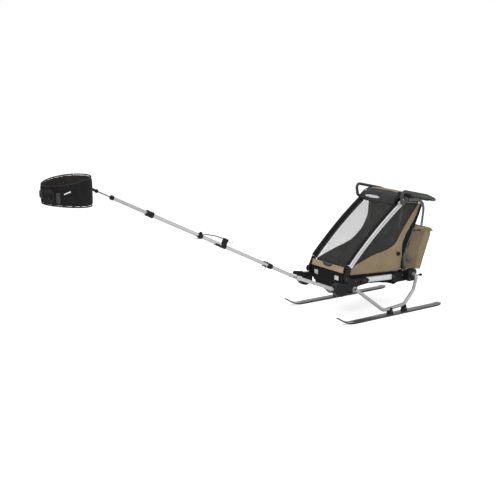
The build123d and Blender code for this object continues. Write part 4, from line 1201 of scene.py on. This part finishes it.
binding_cloth = woven("binding_cloth", (0.024, 0.024, 0.025), 0.0016, 0.0003)
sweep = np.linspace(0.045, 2 * np.pi - 0.045, 120)
edges = [cord_edge(f"belt_{word}_binding", on_belt(sweep, level, -BELT_DEEP / 2), 0.0044,
                   binding_cloth, 160) for word, level in (("upper", 0.985), ("lower", -0.985))]
slot_turn, slot_level = np.linspace(0.77, 0.93, 14)[:, None], np.linspace(-0.72, 0.35, 16)[None, :]
slot_rim = surface("belt_slot", on_belt(slot_turn, slot_level, 0.0014 + 0 * slot_turn), black_metal)
thicken(slot_rim, 0.0016, 0.0)
pocket_cloth = woven("pocket_cloth", (0.022, 0.022, 0.023), 0.004, 0.0016, uneven=0.9)
pocket_turn = np.linspace(0.1, 0.7, 40)[:, None]
pocket_level = np.linspace(-0.86, 0.72, 24)[None, :]
rise = np.sin(np.pi * (pocket_level + 0.86) / 1.58)
bulge = 0.0012 + 0.0045 * np.sin(np.pi * (pocket_turn - 0.1) / 0.6) * rise
bulge = bulge + 0.0007 * np.sin(37 * pocket_turn) * np.sin(9 * pocket_level)
pocket = surface("belt_pocket", on_belt(pocket_turn, pocket_level, bulge), pocket_cloth)
thicken(pocket, 0.0014, 0.0)
seam_level = np.linspace(-0.93, 0.93, 24)
seams = [cord_edge(f"belt_seam_{count}", on_belt(np.full(24, at), seam_level, 0.0006), 0.0013,
                   binding_cloth, 40) for count, at in enumerate((0.735, 1.9, 4.4, 5.55))]
label_turn, label_level = np.linspace(1.07, 1.33, 16)[:, None], np.linspace(-1, 1, 6)[None, :]
label_level = 0.19 + 0.19 * (label_turn - 1.07) / 0.26 + 0.062 * label_level
label_tape = woven("label_tape", (0.72, 0.72, 0.71), 0.001, 0.0002)
label = surface("belt_label", on_belt(label_turn, label_level, 0.0016 + 0 * label_turn), label_tape)
thicken(label, 0.001, 0.0)
webbing_turn = np.linspace(-0.62, 0.74, 60)
webbing_path = on_belt(webbing_turn, -0.02, 0.0062 - 0.004 * np.abs(webbing_turn) ** 2)
front_webbing = strap("belt_webbing", webbing_path[::6], 0.034, 0.0018, (0, 0, 1.0), black_cloth,
                      90)
for piece in (*edges, slot_rim, pocket, *seams, label, front_webbing):
    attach(piece, "waist_belt")

level = np.array([1.155, 1.157, 1.165, 1.18, 1.195, 1.203, 1.205])[:, None]
size = np.array([0.75, 0.95, 1, 0.94, 1, 0.95, 0.75])[:, None]
turn = whole_turn(48)[None, :]
case = grid(0.024 * size * eased(np.cos(turn), 0.4),
            -1.6655 + 0.0055 * size * eased(np.sin(turn), 0.5), level)
buckle_case = closed("belt_buckle", case, black_nylon, sharp=45)
settle(buckle_case, "waist_belt")
